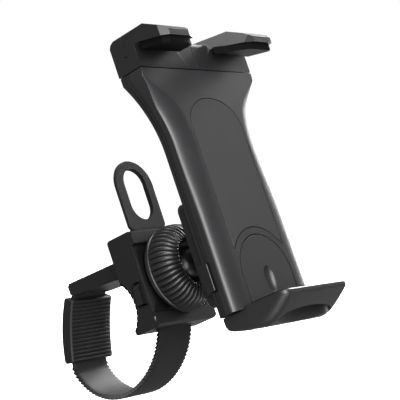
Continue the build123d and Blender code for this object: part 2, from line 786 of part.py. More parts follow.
def rear_shell():
    """Rear half of the cradle, with the carriage's rails, spring posts and screw bosses."""
    shape = front_slab(body_outline(0), split_y, rear_y)
    rear_edges = shape.faces().sort_by(Axis.Y)[-1].edges().filter_by(Axis.X, reverse=True)
    shape = fillet(rear_edges, rear_round)
    shape -= front_slab(body_outline(wall, shell_z + wall, seam_z + 1), split_y - 1, rear_y - wall)
    rail = block(rail_in, rail_in + rail_t, carriage_front, rear_y - wall + 0.5,
                 shell_z + wall - 0.5, seam_z - 1)
    shape += rail + mirrored(rail)
    for x, z in shell_screws:
        shape -= rod_y(x, z, boss_r + boss_gap, carriage_front - 1, split_y)
    for sx in (-1, 1):
        shape += rod_y(sx * spring_x, shell_z + spring_low, post_r,
                       carriage_back + 0.4, rear_y - wall + 0.5)
    for x, z in shell_screws:
        shape += rod_y(x, z, boss_r, split_y, rear_y - wall + 0.5)
        shape -= screw_hole(x, z, rear_y, shell_screw_len, -1)
    for x, z in plate_screws:
        shape += rod_y(x, z, plate_boss_r, rear_y - plate_boss_t, rear_y - wall + 0.5)
        shape -= rod_y(x, z, screw_r, rear_y - plate_screw_bite, rear_y + 1)
    shape -= block(-waist_w / 2 - 1, button_in + button_travel + button_gap, button_y0 - button_gap,
                   rear_y + 1, button_z0 - button_gap, button_z1 + button_gap)
    return shape


def release_button():
    """Side button whose tongue locks the cradle on the adapter plate."""
    head = block(-waist_w / 2 - button_out, button_in, button_y0, rear_y - 0.3,
                 button_z0, button_z1)
    head = fillet(head.faces().sort_by(Axis.X)[0].edges(), button_edge)
    tongue = block(-waist_w / 2 + 0.2, button_in, rear_y - 1.0, button_y1,
                   button_z0 + button_tongue, button_z1 - button_tongue)
    return head + tongue


def button_spring():
    """Coil behind the side button."""
    y, z = (button_y0 + rear_y - wall) / 2, (button_z0 + button_z1) / 2
    x0, x1 = button_in + 0.05, -rail_in - rail_t - 0.05
    bore = rod_x(y, z, button_spring_bore, x0 - 1, x1 + 1)
    return rod_x(y, z, button_spring_r, x0, x1) - bore


def front_inlay():
    """Rubber sheet set into the cradle's face."""
    return front_slab(inlay_outline(0), face_y - inlay_out, face_y + inlay_t)


# ---------------------------------------------------------------- foot
def slot_face(grow):
    """Oval of the lead hole in plan."""
    return Pos(0, face_y - slot_at) * Ellipse(slot_w / 2 + grow, slot_d / 2 + grow)


def foot():
    """Lower jaw with the tongue and guide that slide in the cradle."""
    low = shell_z
    nose = (face_y - foot_front - foot_nose, low + foot_top - foot_edge)
    keel = (face_y - foot_deep_at, low - foot_deep)
    heel = (rear_y - foot_rear_bevel, low - foot_back)
    profile = Curve() + [
        Polyline(heel, (rear_y, low - foot_back + foot_rear_bevel), (rear_y, foot_z),
                 (face_y - foot_gap, foot_z), (face_y - foot_gap, low + foot_top),
                 (face_y - foot_front, low + foot_top), nose),
        ThreePointArc(nose, (face_y - 0.62 * foot_front, low - 0.72 * foot_deep), keel),
        Line(keel, heel)]
    half = foot_w / 2
    shape = extrude(Plane.YZ.offset(-half) * make_face(profile), 2 * half)
    plan = Pos(0, (nose[0] + rear_y) / 2) * Rectangle(foot_w, rear_y - nose[0])
    plan = fillet(plan.vertices().group_by(Axis.Y)[0], foot_corner)
    shape &= extrude(Plane.XY.offset(low - 20) * plan, 40)
    shape -= extrude(Plane.XY.offset(low - 20) * slot_face(0), 40)
    shape += front_slab(arch(tongue_w / 2, tongue_top, -foot_gap - 0.5), face_y, guide_front + 0.1)
    shape += block(-guide_w / 2, guide_w / 2, guide_front, guide_back,
                   foot_z - 0.5, low + guide_top)
    scoop_out = sqrt(scoop_ball ** 2 - scoop_cut ** 2)
    stretch = (scoop_w / 2 / scoop_cut, 1, scoop_h / 2 / scoop_cut)
    scoop = Pos(0, face_y - scoop_out, low + scoop_at) * scale(Sphere(scoop_ball), stretch)
    return shape - scoop


def foot_pad():
    """Rubber on the foot's top."""
    y0, y1 = face_y - foot_front + foot_pad_front, face_y - foot_pad_back
    plan = Pos(0, (y0 + y1) / 2) * Rectangle(foot_w - 2 * foot_pad_side, y1 - y0)
    plan = fillet(plan.vertices().group_by(Axis.Y)[0], foot_pad_corner)
    plan -= slot_face(foot_pad_rim)
    return extrude(Plane.XY.offset(shell_z + foot_top) * plan, foot_pad_t)


# ---------------------------------------------------------------- carriage and jaws
def carriage():
    """Sliding plate that joins both jaws, with its spring posts."""
    shape = block(-carriage_w / 2, carriage_w / 2, carriage_front, carriage_back,
                  shell_z + carriage_low, seam_z + carriage_neck)
    bar_half = top_w / 2 - bar_side
    shape += block(-bar_half, bar_half, carriage_front, carriage_back,
                   seam_z + bar_low, seam_z + bar_high)
    for sx in (-1, 1):
        shape += rod_y(sx * spring_x, shell_z + carriage_low + spring_high, post_r,
                       carriage_back - 0.3, rear_y - wall - 0.4)
    for x, z in jaw_screws:
        shape -= rod_y(x, z, screw_r + 0.3, carriage_front - 1, carriage_back + 1)
    window = block(-window_w / 2, window_w / 2, carriage_front - 1, carriage_back + 1,
                   shell_z + carriage_low + window_low, seam_z - window_high)
    return shape - window


def jaw_profile():
    """Side view of a jaw in (y, z)."""
    b = seam_z
    return [(rear_y, b + seam), (rear_y, b + jaw_top - 2.6), (rear_y - 2.4, b + jaw_top - 0.4),
            (rear_y - jaw_back_bevel, b + jaw_top), (face_y - jaw_flat, b + jaw_top),
            (face_y - jaw_reach + 3.0, b + jaw_nose + 2.8), (face_y - jaw_reach, b + jaw_nose),
            (face_y - jaw_reach, b + jaw_under), (face_y, b + jaw_under), (face_y, b + seam)]


def jaw_plan(inset):
    """Plan of the +X jaw in (x, y)."""
    front = face_y - jaw_reach
    return [(jaw_in_root + inset, rear_y + 1), (jaw_in_root + inset, face_y),
            (jaw_in_front - 1.0 + inset, front + 2.6), (jaw_in_front + 1.6 + inset, front + inset),
            (jaw_out_front - 3.4 - inset, front + inset), (jaw_out_front - inset, front + 3.6),
            (top_w / 2 - inset, face_y), (top_w / 2 - inset, rear_y + 1)]


def jaw():
    """Jaw on the +X side: half of the head block and the overhanging jaw."""
    shelf = side_slab(jaw_profile(), jaw_in_root - 1, top_w / 2)
    plan = make_face(Polyline(*jaw_plan(0), close=True))
    shelf &= extrude(Plane.XY.offset(seam_z - 5) * plan, 40)
    base = side_slab([(rear_y, seam_z + seam), (rear_y, seam_z + head_mid_top - 1),
                      (rear_y - 1.0, seam_z + head_mid_top), (face_y + 4.0, seam_z + head_mid_top),
                      (face_y, seam_z + head_mid_top - 2.0), (face_y, seam_z + seam)],
                     0.15, top_w / 2)
    shape = shelf + base
    y0, y1 = carriage_front - bar_gap / 2, carriage_back + bar_gap / 2
    shape -= block(-1, top_w / 2 - bar_side + bar_gap, y0, y1, seam_z - 1, seam_z + bar_high + bar_gap)
    shape -= block(-1, carriage_w / 2 + bar_gap, y0, y1, seam_z - 1, seam_z + carriage_neck + 1)
    for x, z in jaw_screws:
        if x > 0:
            shape -= screw_hole(x, z, rear_y, jaw_screw_len, -1)
    return shape


def jaw_pad():
    """Rubber under the +X jaw."""
    plan = make_face(Polyline(*jaw_plan(jaw_pad_in), close=True))
    pad = extrude(Plane.XY.offset(seam_z + jaw_under - jaw_pad_t) * plan, jaw_pad_t)
    return pad & block(0, top_w / 2, face_y - jaw_reach, face_y - 0.05, 0, seam_z + 20)


def extension_spring(side):
    """Coil between a shell post and a carriage post."""
    x = side * spring_x
    z0 = shell_z + spring_low + post_r + spring_hook_gap
    z1 = shell_z + carriage_low + spring_high - post_r - spring_hook_gap
    bore = rod_z(x, spring_y, spring_r - spring_wire, z0 - 1, z1 + 1)
    return rod_z(x, spring_y, spring_r, z0, z1) - bore


def screws(places, y_head, length, towards):
    """Identical screws as one group of separate solids."""
    return Compound([countersunk(x, z, y_head, length, towards) for x, z in places])


# ---------------------------------------------------------------- build
def build_all():
    """Make and write every piece."""
    save(clamp_body(), "clamp_body")
    save(clamp_cover(), "clamp_cover")
    save(screws(housing_screws, cover_y - lip_h, housing_screw_len, 1), "housing_screws")
    save(saddle_liner(), "saddle_liner")
    save(strap(), "strap")
    save(strap_pin(), "strap_pin")
    save(sleeve(), "strap_sleeve")
    for side, flip in (("right", lambda s: s), ("left", mirrored)):
        save(flip(release_lever()), f"release_lever_{side}")
        save(flip(lever_pin()), f"lever_pin_{side}")
        save(flip(lever_spring()), f"lever_spring_{side}")
        save(flip(jaw()), f"jaw_{side}")
        save(flip(jaw_pad()), f"jaw_pad_{side}")
    save(locking_nut(), "locking_nut")
    save(Pos(*ball) * Sphere(ball_r), "ball")
    save(ball_stem(), "ball_stem")
    washer, screw = swivel_screw()
    save(washer, "swivel_washer")
    save(screw, "swivel_screw")
    save(adapter_plate(), "adapter_plate")
    save(screws(plate_screws, plate_back, plate_screw_len, -1), "plate_screws")
    save(front_shell(), "front_shell")
    save(rear_shell(), "rear_shell")
    save(screws(shell_screws, rear_y, shell_screw_len, -1), "shell_screws")
    save(front_inlay(), "front_inlay")
    save(release_button(), "release_button")
    save(button_spring(), "button_spring")
    save(foot(), "foot")
    save(foot_pad(), "foot_pad")
    save(carriage(), "carriage")
    save(screws(jaw_screws, rear_y, jaw_screw_len, -1), "jaw_screws")
    save(extension_spring(-1), "extension_spring_left")
    save(extension_spring(1), "extension_spring_right")


build_all()
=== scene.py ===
# %% [markdown]
# # A phone mount for a handlebar
#
# The object is a sprung cradle for a phone or small tablet. It turns on a ball joint, and a toothed
# strap clamps it to a bar. The construction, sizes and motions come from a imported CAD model. This
# lesson dresses that model: it rebuilds the moulded pieces with their real edges, ribs and grain,
# and gives every surface a finish.

import json
import math

import bpy
from mathutils import Matrix, Vector


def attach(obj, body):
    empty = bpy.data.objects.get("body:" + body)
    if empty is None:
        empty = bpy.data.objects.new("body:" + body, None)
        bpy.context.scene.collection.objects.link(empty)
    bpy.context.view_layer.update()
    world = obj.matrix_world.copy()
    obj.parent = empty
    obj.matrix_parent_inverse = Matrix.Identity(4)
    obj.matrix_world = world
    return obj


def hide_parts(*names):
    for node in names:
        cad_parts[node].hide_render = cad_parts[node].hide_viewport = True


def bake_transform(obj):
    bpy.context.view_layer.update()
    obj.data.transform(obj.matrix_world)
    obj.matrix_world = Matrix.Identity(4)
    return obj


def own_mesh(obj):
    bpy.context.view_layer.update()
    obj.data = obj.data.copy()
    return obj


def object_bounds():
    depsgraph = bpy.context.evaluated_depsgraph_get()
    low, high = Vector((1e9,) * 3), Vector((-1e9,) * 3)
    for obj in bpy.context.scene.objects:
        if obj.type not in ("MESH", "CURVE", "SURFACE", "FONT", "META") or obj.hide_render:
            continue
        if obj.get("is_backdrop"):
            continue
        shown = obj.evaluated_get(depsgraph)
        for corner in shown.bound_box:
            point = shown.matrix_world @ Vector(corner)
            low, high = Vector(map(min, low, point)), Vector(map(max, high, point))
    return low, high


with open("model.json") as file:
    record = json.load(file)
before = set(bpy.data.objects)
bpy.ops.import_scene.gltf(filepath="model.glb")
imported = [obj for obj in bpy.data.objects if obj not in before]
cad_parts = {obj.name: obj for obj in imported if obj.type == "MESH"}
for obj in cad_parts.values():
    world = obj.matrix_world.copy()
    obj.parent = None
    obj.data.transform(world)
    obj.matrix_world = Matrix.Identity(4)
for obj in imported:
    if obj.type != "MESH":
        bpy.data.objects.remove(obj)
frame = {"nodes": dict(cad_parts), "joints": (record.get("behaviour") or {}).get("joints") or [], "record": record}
cad_low, cad_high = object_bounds()
print("CAD box, mm:", [round(1000 * side) for side in cad_high - cad_low])

# %% [markdown]
# ## Working upright
#
# The whole mount leans back about the bar. Modelling a leaning thing is awkward, so each piece is
# drawn upright, in millimetres counted from the bar's centre, and leaned back once it is finished.
# The lean is read from the carriage's slide, which runs straight up the cradle. `upright_box` gives
# any CAD node's corners in that upright frame, and it is where all sizes below come from.

# %% Lean and upright boxes
MM = 0.001
slide_axis = next(joint["axis"] for joint in frame["joints"] if joint["name"] == "carriage_slide")
lean = math.atan2(slide_axis[1], slide_axis[2])
stand_up = Matrix.Rotation(lean, 4, "X")


def upright_box(node):
    """Lowest and highest corner of a CAD node in the upright frame, in millimetres."""
    points = [stand_up @ vertex.co / MM for vertex in frame["nodes"][node].data.vertices]
    return (Vector([min(p[k] for p in points) for k in range(3)]),
            Vector([max(p[k] for p in points) for k in range(3)]))


shell_low, shell_high = upright_box("front_shell")
print("lean, degrees:", round(math.degrees(lean), 2), " cradle, mm:", shell_low, shell_high)

# %% [markdown]
# ## Camera
#
# The camera stands a little above the bar, to the left of the cradle's face, and looks almost level.
# A long lens keeps the perspective calm, as in a catalogue picture.

# %% Camera
camera_place = Vector((-0.4995, -0.4271, 0.0874))
camera_heading = 51.915
camera_pitch = -2.995
camera_roll = -0.458
lens_mm = 126.2

camera_data = bpy.data.cameras.new("camera")
camera_data.lens = lens_mm
camera_data.sensor_width = 36.0
camera_data.clip_start = 0.01
camera = bpy.data.objects.new("camera", camera_data)
bpy.context.scene.collection.objects.link(camera)
camera.location = camera_place
camera.rotation_euler = [math.radians(angle) for angle in
                         (90.0 + camera_pitch, camera_roll, -camera_heading)]
bpy.context.scene.camera = camera
print("lens, mm:", lens_mm)

# %% [markdown]
# ## Light and floor
#
# Black plastic shows shape by what it mirrors more than by its own colour. So the light is a few
# large soft panels, each placed where one family of surfaces mirrors it: a key panel above the camera
# for the rounded left edge, a strip behind the right edge, one overhead, a small one below for the
# rounded undersides, and a very dim one at the right for the cradle's flat face.

# %% Soft panels
middle = (cad_low + cad_high) / 2


def soft_panel(name, place, size, watts):
    """Rectangular area light at `place`, turned to the middle of the mount."""
    data = bpy.data.lights.new(name, "AREA")
    data.shape = "RECTANGLE"
    data.size, data.size_y = size
    data.energy = watts
    lamp = bpy.data.objects.new(name, data)
    bpy.context.scene.collection.objects.link(lamp)
    lamp.location = place
    lamp.rotation_euler = (middle - place).to_track_quat("-Z", "Y").to_euler()
    print(name, "size, m:", size, "W:", watts)


soft_panel("key_panel", middle + Vector((-0.62, -0.74, 0.42)), (0.45, 1.2), 26.0)
soft_panel("face_panel", middle + Vector((0.95, -0.62, 0.45)), (0.9, 0.9), 0.4)
soft_panel("edge_strip", middle + Vector((0.97, 0.22, 0.13)), (0.45, 1.1), 33.0)
soft_panel("top_panel", middle + Vector((0.0, 0.25, 0.95)), (0.6, 0.6), 6.0)
soft_panel("low_panel", middle + Vector((-0.50, -0.62, -0.62)), (0.8, 0.3), 4.0)

# %% [markdown]
# The room is white to the camera and dim to the object, which keeps the shadow side dark. A world can
# tell the two apart by the kind of ray that reaches it. Its nodes are added by one small function,
# which the finishes below use as well.

# %% Node helper
def add_node(tree, kind, settings=None, links=None):
    """Add one shader node, set its sockets or properties by name and link its inputs."""
    made = tree.nodes.new(kind)
    for key, value in (settings or {}).items():
        if hasattr(made, key) and key not in made.inputs:
            setattr(made, key, value)
        else:
            made.inputs[key].default_value = value
    for key, source in (links or {}).items():
        tree.links.new(source, made.inputs[key])
    return made


# %% Room
room_strength = 0.28                     # for light on the object
backdrop_strength = 1.0                  # for the camera

room = bpy.data.worlds.new("room")
room.use_nodes = True
room.node_tree.nodes.clear()
ray = add_node(room.node_tree, "ShaderNodeLightPath")
dim = add_node(room.node_tree, "ShaderNodeBackground",
               {"Color": (1, 1, 1, 1), "Strength": room_strength})
white = add_node(room.node_tree, "ShaderNodeBackground",
                 {"Color": (1, 1, 1, 1), "Strength": backdrop_strength})
both = add_node(room.node_tree, "ShaderNodeMixShader")
room.node_tree.links.new(ray.outputs["Is Camera Ray"], both.inputs[0])
room.node_tree.links.new(dim.outputs[0], both.inputs[1])
room.node_tree.links.new(white.outputs[0], both.inputs[2])
add_node(room.node_tree, "ShaderNodeOutputWorld", links={"Surface": both.outputs[0]})
bpy.context.scene.world = room
bpy.context.scene.view_settings.view_transform = "Standard"
print("room, to the object and to the camera:", room_strength, backdrop_strength)

# %% [markdown]
# The floor is a sheet of white paper lit from below, as on a product table. It shows pure white to the
# camera. It is hidden from mirrored and scattered light, or the whole underside of the mount would
# glow, and from shadow rays, so that it never stands in a panel's way.

# %% Floor
floor_drop = 0.035                       # below the lowest point of the mount
floor_size = 12.0
paper_glow = 0.8

bpy.ops.object.select_all(action="DESELECT")
bpy.ops.mesh.primitive_plane_add(size=floor_size,
                                 location=(middle.x, middle.y, cad_low.z - floor_drop))
floor = bpy.context.object
floor.name = "floor"
paper = bpy.data.materials.new("backlit_paper")
paper.use_nodes = True
paper_shader = paper.node_tree.nodes["Principled BSDF"]
paper_shader.inputs["Base Color"].default_value = (0.9, 0.9, 0.9, 1)
paper_shader.inputs["Roughness"].default_value = 0.9
paper_shader.inputs["Emission Color"].default_value = (1, 1, 1, 1)
paper_shader.inputs["Emission Strength"].default_value = paper_glow
floor.data.materials.append(paper)
floor.visible_glossy = False
floor.visible_diffuse = False
floor.visible_shadow = False
floor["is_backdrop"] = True
print("floor height, mm:", round(floor.location.z / MM))

# %% [markdown]
# ## Finishes
#
# The real mount is made of very few materials. The housings and the cradle are injection-moulded ABS
# from a spark-eroded steel mould, which leaves a fine, even grain: black, with a satin sheen. The nut
# and the ball are nylon, a little glossier. The strap and its sleeve are TPU, a tough rubber, and the
# liner, pads and inlay are softer rubber that hardly shines. Pins, screws and springs are steel.
#
# All the blacks differ mostly in roughness, so one function builds them from a colour, a roughness, and
# the real size of the grain. The grain is a bump from fine noise. A slow noise, with patches of about
# 14 mm, changes the roughness a little, as handling and uneven cooling do, so that no highlight is
# perfectly even.

# %% Colour and material helpers
def linear(hex_colour):
    """Linear RGBA from an sRGB hex string such as '1c1c1e'."""
    channels = [int(hex_colour[k:k + 2], 16) / 255 for k in (0, 2, 4)]
    return [c / 12.92 if c <= 0.04045 else ((c + 0.055) / 1.055) ** 2.4 for c in channels] + [1.0]


def new_material(name):
    """Empty node material, returned with its tree."""
    made = bpy.data.materials.new(name)
    made.use_nodes = True
    made.node_tree.nodes.clear()
    return made, made.node_tree


# %% Moulded finish
patch_mm = 14.0
patch_spread = 0.06                      # roughness of a patch, up or down


def moulded(name, colour, fleck, roughness, grain_mm, grain_depth_mm, ior=1.53):
    """Moulded plastic or rubber: two close colours, varied roughness and a fine grain."""
    made, tree = new_material(name)
    place = add_node(tree, "ShaderNodeTexCoord").outputs["Object"]
    cloud = add_node(tree, "ShaderNodeTexNoise", {"Scale": 1 / (patch_mm * MM), "Detail": 3.0},
                     {"Vector": place}).outputs["Fac"]
    grain = add_node(tree, "ShaderNodeTexNoise", {"Scale": 1 / (grain_mm * MM), "Detail": 2.0},
                     {"Vector": place}).outputs["Fac"]
    mixed = add_node(tree, "ShaderNodeMix", {"data_type": "RGBA"})
    mixed.inputs[6].default_value = linear(colour)
    mixed.inputs[7].default_value = linear(fleck)
    tree.links.new(cloud, mixed.inputs[0])
    rough = add_node(tree, "ShaderNodeMapRange",
                     {"To Min": roughness - patch_spread, "To Max": roughness + patch_spread},
                     {"Value": cloud})
    bump = add_node(tree, "ShaderNodeBump", {"Strength": 1.0, "Distance": grain_depth_mm * MM},
                    {"Height": grain})
    shader = add_node(tree, "ShaderNodeBsdfPrincipled", {"IOR": ior},
                      {"Base Color": mixed.outputs[2], "Roughness": rough.outputs["Result"],
                       "Normal": bump.outputs["Normal"]})
    add_node(tree, "ShaderNodeOutputMaterial", links={"Surface": shader.outputs[0]})
    print(name, "grain, mm:", grain_mm)
    return made


# %% The finishes
# ABS from a spark-eroded mould: the real grain is near 0.05 mm, drawn at 0.35 mm so that it shows.
satin_abs = moulded("satin_moulded_abs", "171718", "1b1b1d", 0.42, 0.35, 0.006)
# The housing and levers come from a finer mould and look wetter.
gloss_abs = moulded("semi_gloss_moulded_abs", "0b0b0c", "0e0e0f", 0.33, 0.30, 0.004)
# The rear shell and the jaws: the same ABS, a little darker and duller.
black_abs = moulded("black_moulded_abs", "0e0e0f", "111112", 0.45, 0.35, 0.006)
# Nylon has a soft shine that runs along the nut's ribs.
nylon = moulded("moulded_nylon", "0e0e0f", "121213", 0.36, 0.40, 0.006)
# TPU shines low and evenly, with no crisp mirror image.
tpu = moulded("moulded_tpu", "0c0c0c", "101010", 0.56, 0.50, 0.010, ior=1.40)
# Moulded soft rubber is close to matt, so the pads look deeper than what holds them.
rubber = moulded("moulded_rubber", "0a0a0a", "0d0d0d", 0.80, 0.45, 0.012, ior=1.13)
# Rubber sheet that was rolled between grained cylinders: greyer, so the inlay stands off the face.
inlay_rubber = moulded("calendered_rubber_sheet", "1e1e1f", "222223", 0.72, 0.40, 0.010, ior=1.50)

# %% [markdown]
# Steel shows a drawn or plated surface: fine lines along it from the die or the thread roller, so its
# roughness is stretched noise. The real lines are finer than 0.1 mm and are drawn 0.2 mm apart, so that
# they show. The zinc plating is slightly blue and soft, and spring wire is darker.

# %% Steel
line_mm = 0.2
line_stretch = 0.08                      # lengthens the noise along the upright
line_depth_mm = 0.004


def drawn_steel(name, colour, roughness):
    """Metal with fine lines that run along the upright."""
    made, tree = new_material(name)
    place = add_node(tree, "ShaderNodeTexCoord").outputs["Object"]
    drawn = add_node(tree, "ShaderNodeMapping", {"Scale": (1.0, 1.0, line_stretch)}, {"Vector": place})
    lines = add_node(tree, "ShaderNodeTexNoise", {"Scale": 1 / (line_mm * MM), "Detail": 2.0},
                     {"Vector": drawn.outputs[0]}).outputs["Fac"]
    rough = add_node(tree, "ShaderNodeMapRange",
                     {"To Min": roughness - 0.08, "To Max": roughness + 0.10}, {"Value": lines})
    bump = add_node(tree, "ShaderNodeBump", {"Strength": 0.6, "Distance": line_depth_mm * MM},
                    {"Height": lines})
    shader = add_node(tree, "ShaderNodeBsdfPrincipled",
                      {"Base Color": linear(colour), "Metallic": 1.0},
                      {"Roughness": rough.outputs["Result"], "Normal": bump.outputs["Normal"]})
    add_node(tree, "ShaderNodeOutputMaterial", links={"Surface": shader.outputs[0]})
    print(name, "lines, mm:", line_mm)
    return made


zinc_steel = drawn_steel("zinc_plated_steel", "b9bcc2", 0.34)
spring_steel = drawn_steel("drawn_spring_steel", "8f9196", 0.30)

# %% [markdown]
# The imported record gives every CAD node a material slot. Each slot gets its finish here, and a rebuilt
# piece takes the finish of the node that it stands for.

# %% Finish of every slot
finishes = {
    "housing_plastic": gloss_abs, "shell_plastic": satin_abs, "rear_plastic": black_abs,
    "jaw_plastic": black_abs, "nut_plastic": nylon, "ball_plastic": nylon, "lever_plastic": gloss_abs,
    "strap_rubber": tpu, "sleeve_rubber": tpu, "soft_rubber": rubber, "inlay_rubber": inlay_rubber,
    "zinc_steel": zinc_steel, "spring_steel": spring_steel,
}
slot_of = {part["node"]: part["material_slot"] for part in frame["record"]["subparts"]}
body_of = {node: body for body, nodes in frame["record"]["behaviour"]["bodies"].items()
           for node in nodes}
for node, obj in frame["nodes"].items():
    obj.data.materials.clear()
    obj.data.materials.append(finishes[slot_of[node]])
print("CAD nodes dressed:", len(frame["nodes"]))

# %% [markdown]
# ## Tools for modelling
#
# A piece starts as a primitive, is shaped in edit mode, and ends with modifiers that are applied. The
# few helpers below only save typing: they clear the selection, put one piece in edit mode, pick edges
# by where they lie, and finish a piece. A piece is drawn upright in millimetres, so that every number
# reads as on a drawing, and `finish_piece` scales it to metres and leans it back.

# %% Selection helpers
same_point = 0.0005                      # points closer than this, in mm, are one point


def only(piece):
    """Leave edit mode and select this piece alone."""
    if bpy.context.object and bpy.context.object.mode != "OBJECT":
        bpy.ops.object.mode_set(mode="OBJECT")
    bpy.ops.object.select_all(action="DESELECT")
    if piece:
        piece.select_set(True)
        bpy.context.view_layer.objects.active = piece


def select_whole(piece):
    """Enter edit mode with everything selected."""
    only(piece)
    bpy.ops.object.mode_set(mode="EDIT")
    bpy.ops.mesh.select_all(action="SELECT")


def pick_edges(piece, test):
    """Enter edit mode with the edges selected whose two ends pass test(a, b)."""
    only(piece)
    bpy.ops.object.mode_set(mode="EDIT")
    bpy.ops.mesh.select_mode(type="EDGE")
    bpy.ops.mesh.select_all(action="DESELECT")
    bpy.ops.object.mode_set(mode="OBJECT")
    points = piece.data.vertices
    for edge in piece.data.edges:
        a, b = (points[k].co for k in edge.vertices)
        edge.select = test(a, b)
    bpy.ops.object.mode_set(mode="EDIT")


def outward(piece):
    """Merge doubles and turn every face outwards."""
    select_whole(piece)
    bpy.ops.mesh.remove_doubles(threshold=same_point)
    bpy.ops.mesh.normals_make_consistent(inside=False)
    bpy.ops.object.mode_set(mode="OBJECT")


# %% Solids, cuts and rounded edges
def block(name, low, high):
    """Box between two corners."""
    only(None)
    low, high = Vector(low), Vector(high)
    bpy.ops.mesh.primitive_cube_add(size=1, location=(low + high) / 2, scale=high - low)
    piece = bpy.context.object
    bpy.ops.object.transform_apply(location=True, rotation=False, scale=True)
    piece.name = name
    return piece


def slab(name, outline, along, start, end):
    """Closed prism: an outline of 2-D points, drawn at `start` and extruded along an axis to `end`."""
    only(None)
    bpy.ops.mesh.primitive_circle_add(vertices=len(outline), fill_type="NGON")
    piece = bpy.context.object
    piece.name = name
    seat = {"X": lambda a, b: (start, a, b), "Y": lambda a, b: (a, start, b),
            "Z": lambda a, b: (a, b, start)}
    for vertex, (a, b) in zip(piece.data.vertices, outline):
        vertex.co = seat[along](a, b)
    select_whole(piece)
    push = [(end - start) * (axis == along) for axis in "XYZ"]
    bpy.ops.mesh.extrude_region_move(TRANSFORM_OT_translate={"value": push})
    outward(piece)
    return piece


def rod(name, centre, axis, radius, length, sides=48):
    """Round bar centred on a point."""
    only(None)
    turn = {"X": (0, math.pi / 2, 0), "Y": (math.pi / 2, 0, 0), "Z": (0, 0, 0)}[axis]
    bpy.ops.mesh.primitive_cylinder_add(vertices=sides, radius=radius, depth=length,
                                        location=centre, rotation=turn)
    piece = bpy.context.object
    bpy.ops.object.transform_apply(location=True, rotation=True, scale=True)
    piece.name = name
    return piece


def modify(piece, kind, **settings):
    """Add one modifier and apply it."""
    only(piece)
    modifier = piece.modifiers.new(kind.lower(), kind)
    for key, value in settings.items():
        setattr(modifier, key, value)
    bpy.ops.object.modifier_apply(modifier=modifier.name)


def boolean(piece, tool, how="DIFFERENCE"):
    """Cut a tool from a piece, or join it, and remove the tool."""
    modify(piece, "BOOLEAN", object=tool, operation=how, solver="EXACT")
    bpy.data.objects.remove(tool)


def soften(piece, width, segments=2, angle=35.0):
    """Round every edge sharper than an angle, as a mould's polished corners do."""
    modify(piece, "BEVEL", width=width, segments=segments, limit_method="ANGLE",
           angle_limit=math.radians(angle), harden_normals=False, miter_outer="MITER_ARC")


# %% Finishing a piece
clean_up = 0.003                         # a bevel on a crowded edge leaves points this close, in mm
fine_pieces = {"strap", "shell_screws", "front_shell"}   # their own detail is finer than that
face_weight = 60                         # how much a face's size counts in its corners' shading


def finish_piece(piece, stands_for, smooth=32.0, rides=True):
    """Put a drawn piece in metres, lean it back, dress it and tie it to the nodes it stands for."""
    only(piece)
    if not fine_pieces.intersection(stands_for):
        select_whole(piece)
        bpy.ops.mesh.remove_doubles(threshold=clean_up)
        bpy.ops.mesh.dissolve_degenerate(threshold=clean_up)
        only(piece)
    piece.scale = (MM, MM, MM)
    piece.rotation_euler = (-lean, 0, 0)
    bpy.ops.object.transform_apply(location=True, rotation=True, scale=True)
    bpy.ops.object.shade_smooth_by_angle(angle=math.radians(smooth))
    # Large flat faces decide the shading, so that a bevel never bends the look of its neighbour.
    modify(piece, "WEIGHTED_NORMAL", keep_sharp=True, weight=face_weight)
    slot = slot_of[stands_for[0]]
    piece.data.materials.clear()
    piece.data.materials.append(finishes[slot])
    if rides:
        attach(piece, body_of[stands_for[0]])
    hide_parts(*stands_for)
    print(piece.name, "faces:", len(piece.data.polygons))
    return piece


def copy_upright(node, name):
    """A CAD node's mesh as a new, merged piece, upright and in millimetres."""
    only(None)
    mesh = frame["nodes"][node].data.copy()
    mesh.transform(Matrix.Scale(1 / MM, 4) @ stand_up)
    piece = bpy.data.objects.new(name, mesh)
    bpy.context.scene.collection.objects.link(piece)
    outward(piece)
    # The triangles of one flat face become one face again.
    modify(piece, "DECIMATE", decimate_type="DISSOLVE", angle_limit=math.radians(0.6))
    return piece


# %% [markdown]
# ## The cradle's front shell
#
# The front of the cradle is one moulding: flat in the middle, with a broad rounded edge down each side.
# Where the body flares out to the jaws, that edge narrows to nothing, which leaves a crescent on each
# side with a crisp inner line. A bevel can't fade like that. So a flat grid is bent into shape instead:
# its columns follow the cross-section, its rows the height, and the rounding's width, depth and
# fullness change with height. Under the jaws' flare the sides also stand out a little in front, and
# fall back towards the rear. Solidify then gives the wall, and cutters open the arch for the foot's
# tongue and the shallow bed of the rubber inlay.

# %% The cradle's outline
face_y = shell_low.y                     # the flat front
split_y = shell_high.y                   # joint with the rear shell
rear_y = upright_box("rear_shell")[1].y
base_z = shell_low.z
body_height = shell_high.z - shell_low.z
half_top = shell_high.x
half_waist = 26.5
waist_height = 76.0
shoulder_height = 107.5
flare = half_top - half_waist
flare_rise = shoulder_height - waist_height
flare_radius = (flare ** 2 + flare_rise ** 2) / (2 * flare)


def half_width(height):
    """Half of the cradle's width at a height above its bottom."""
    rise = min(max(height - waist_height, 0.0), flare_rise)
    return half_waist + flare_radius - math.sqrt(flare_radius ** 2 - rise ** 2)


def between(value, low, high):
    """Smooth step from 0 at `low` to 1 at `high`."""
    share = min(max((value - low) / (high - low), 0.0), 1.0)
    return share * share * (3 - 2 * share)


print("waist and top, mm:", 2 * half_width(0), 2 * half_width(body_height))

# %% The front shell, bent from a grid
edge_wide = 10.6                         # rounded edge, across the front
edge_deep = 4.1                          # and down the side
side_out = 3.5                           # how far the side stands out there, over the rear edge
fade_from, fade_to = 92.0, 111.0         # heights between which the rounded edge runs out
full_low, full_high = 38.0, 74.0         # heights between which it turns from round to fuller
hair = 0.02                              # keeps the columns apart where the edge has run out
shell_wall = 2.0
body_depth = rear_y - face_y
across_count, up_count = 60, 112


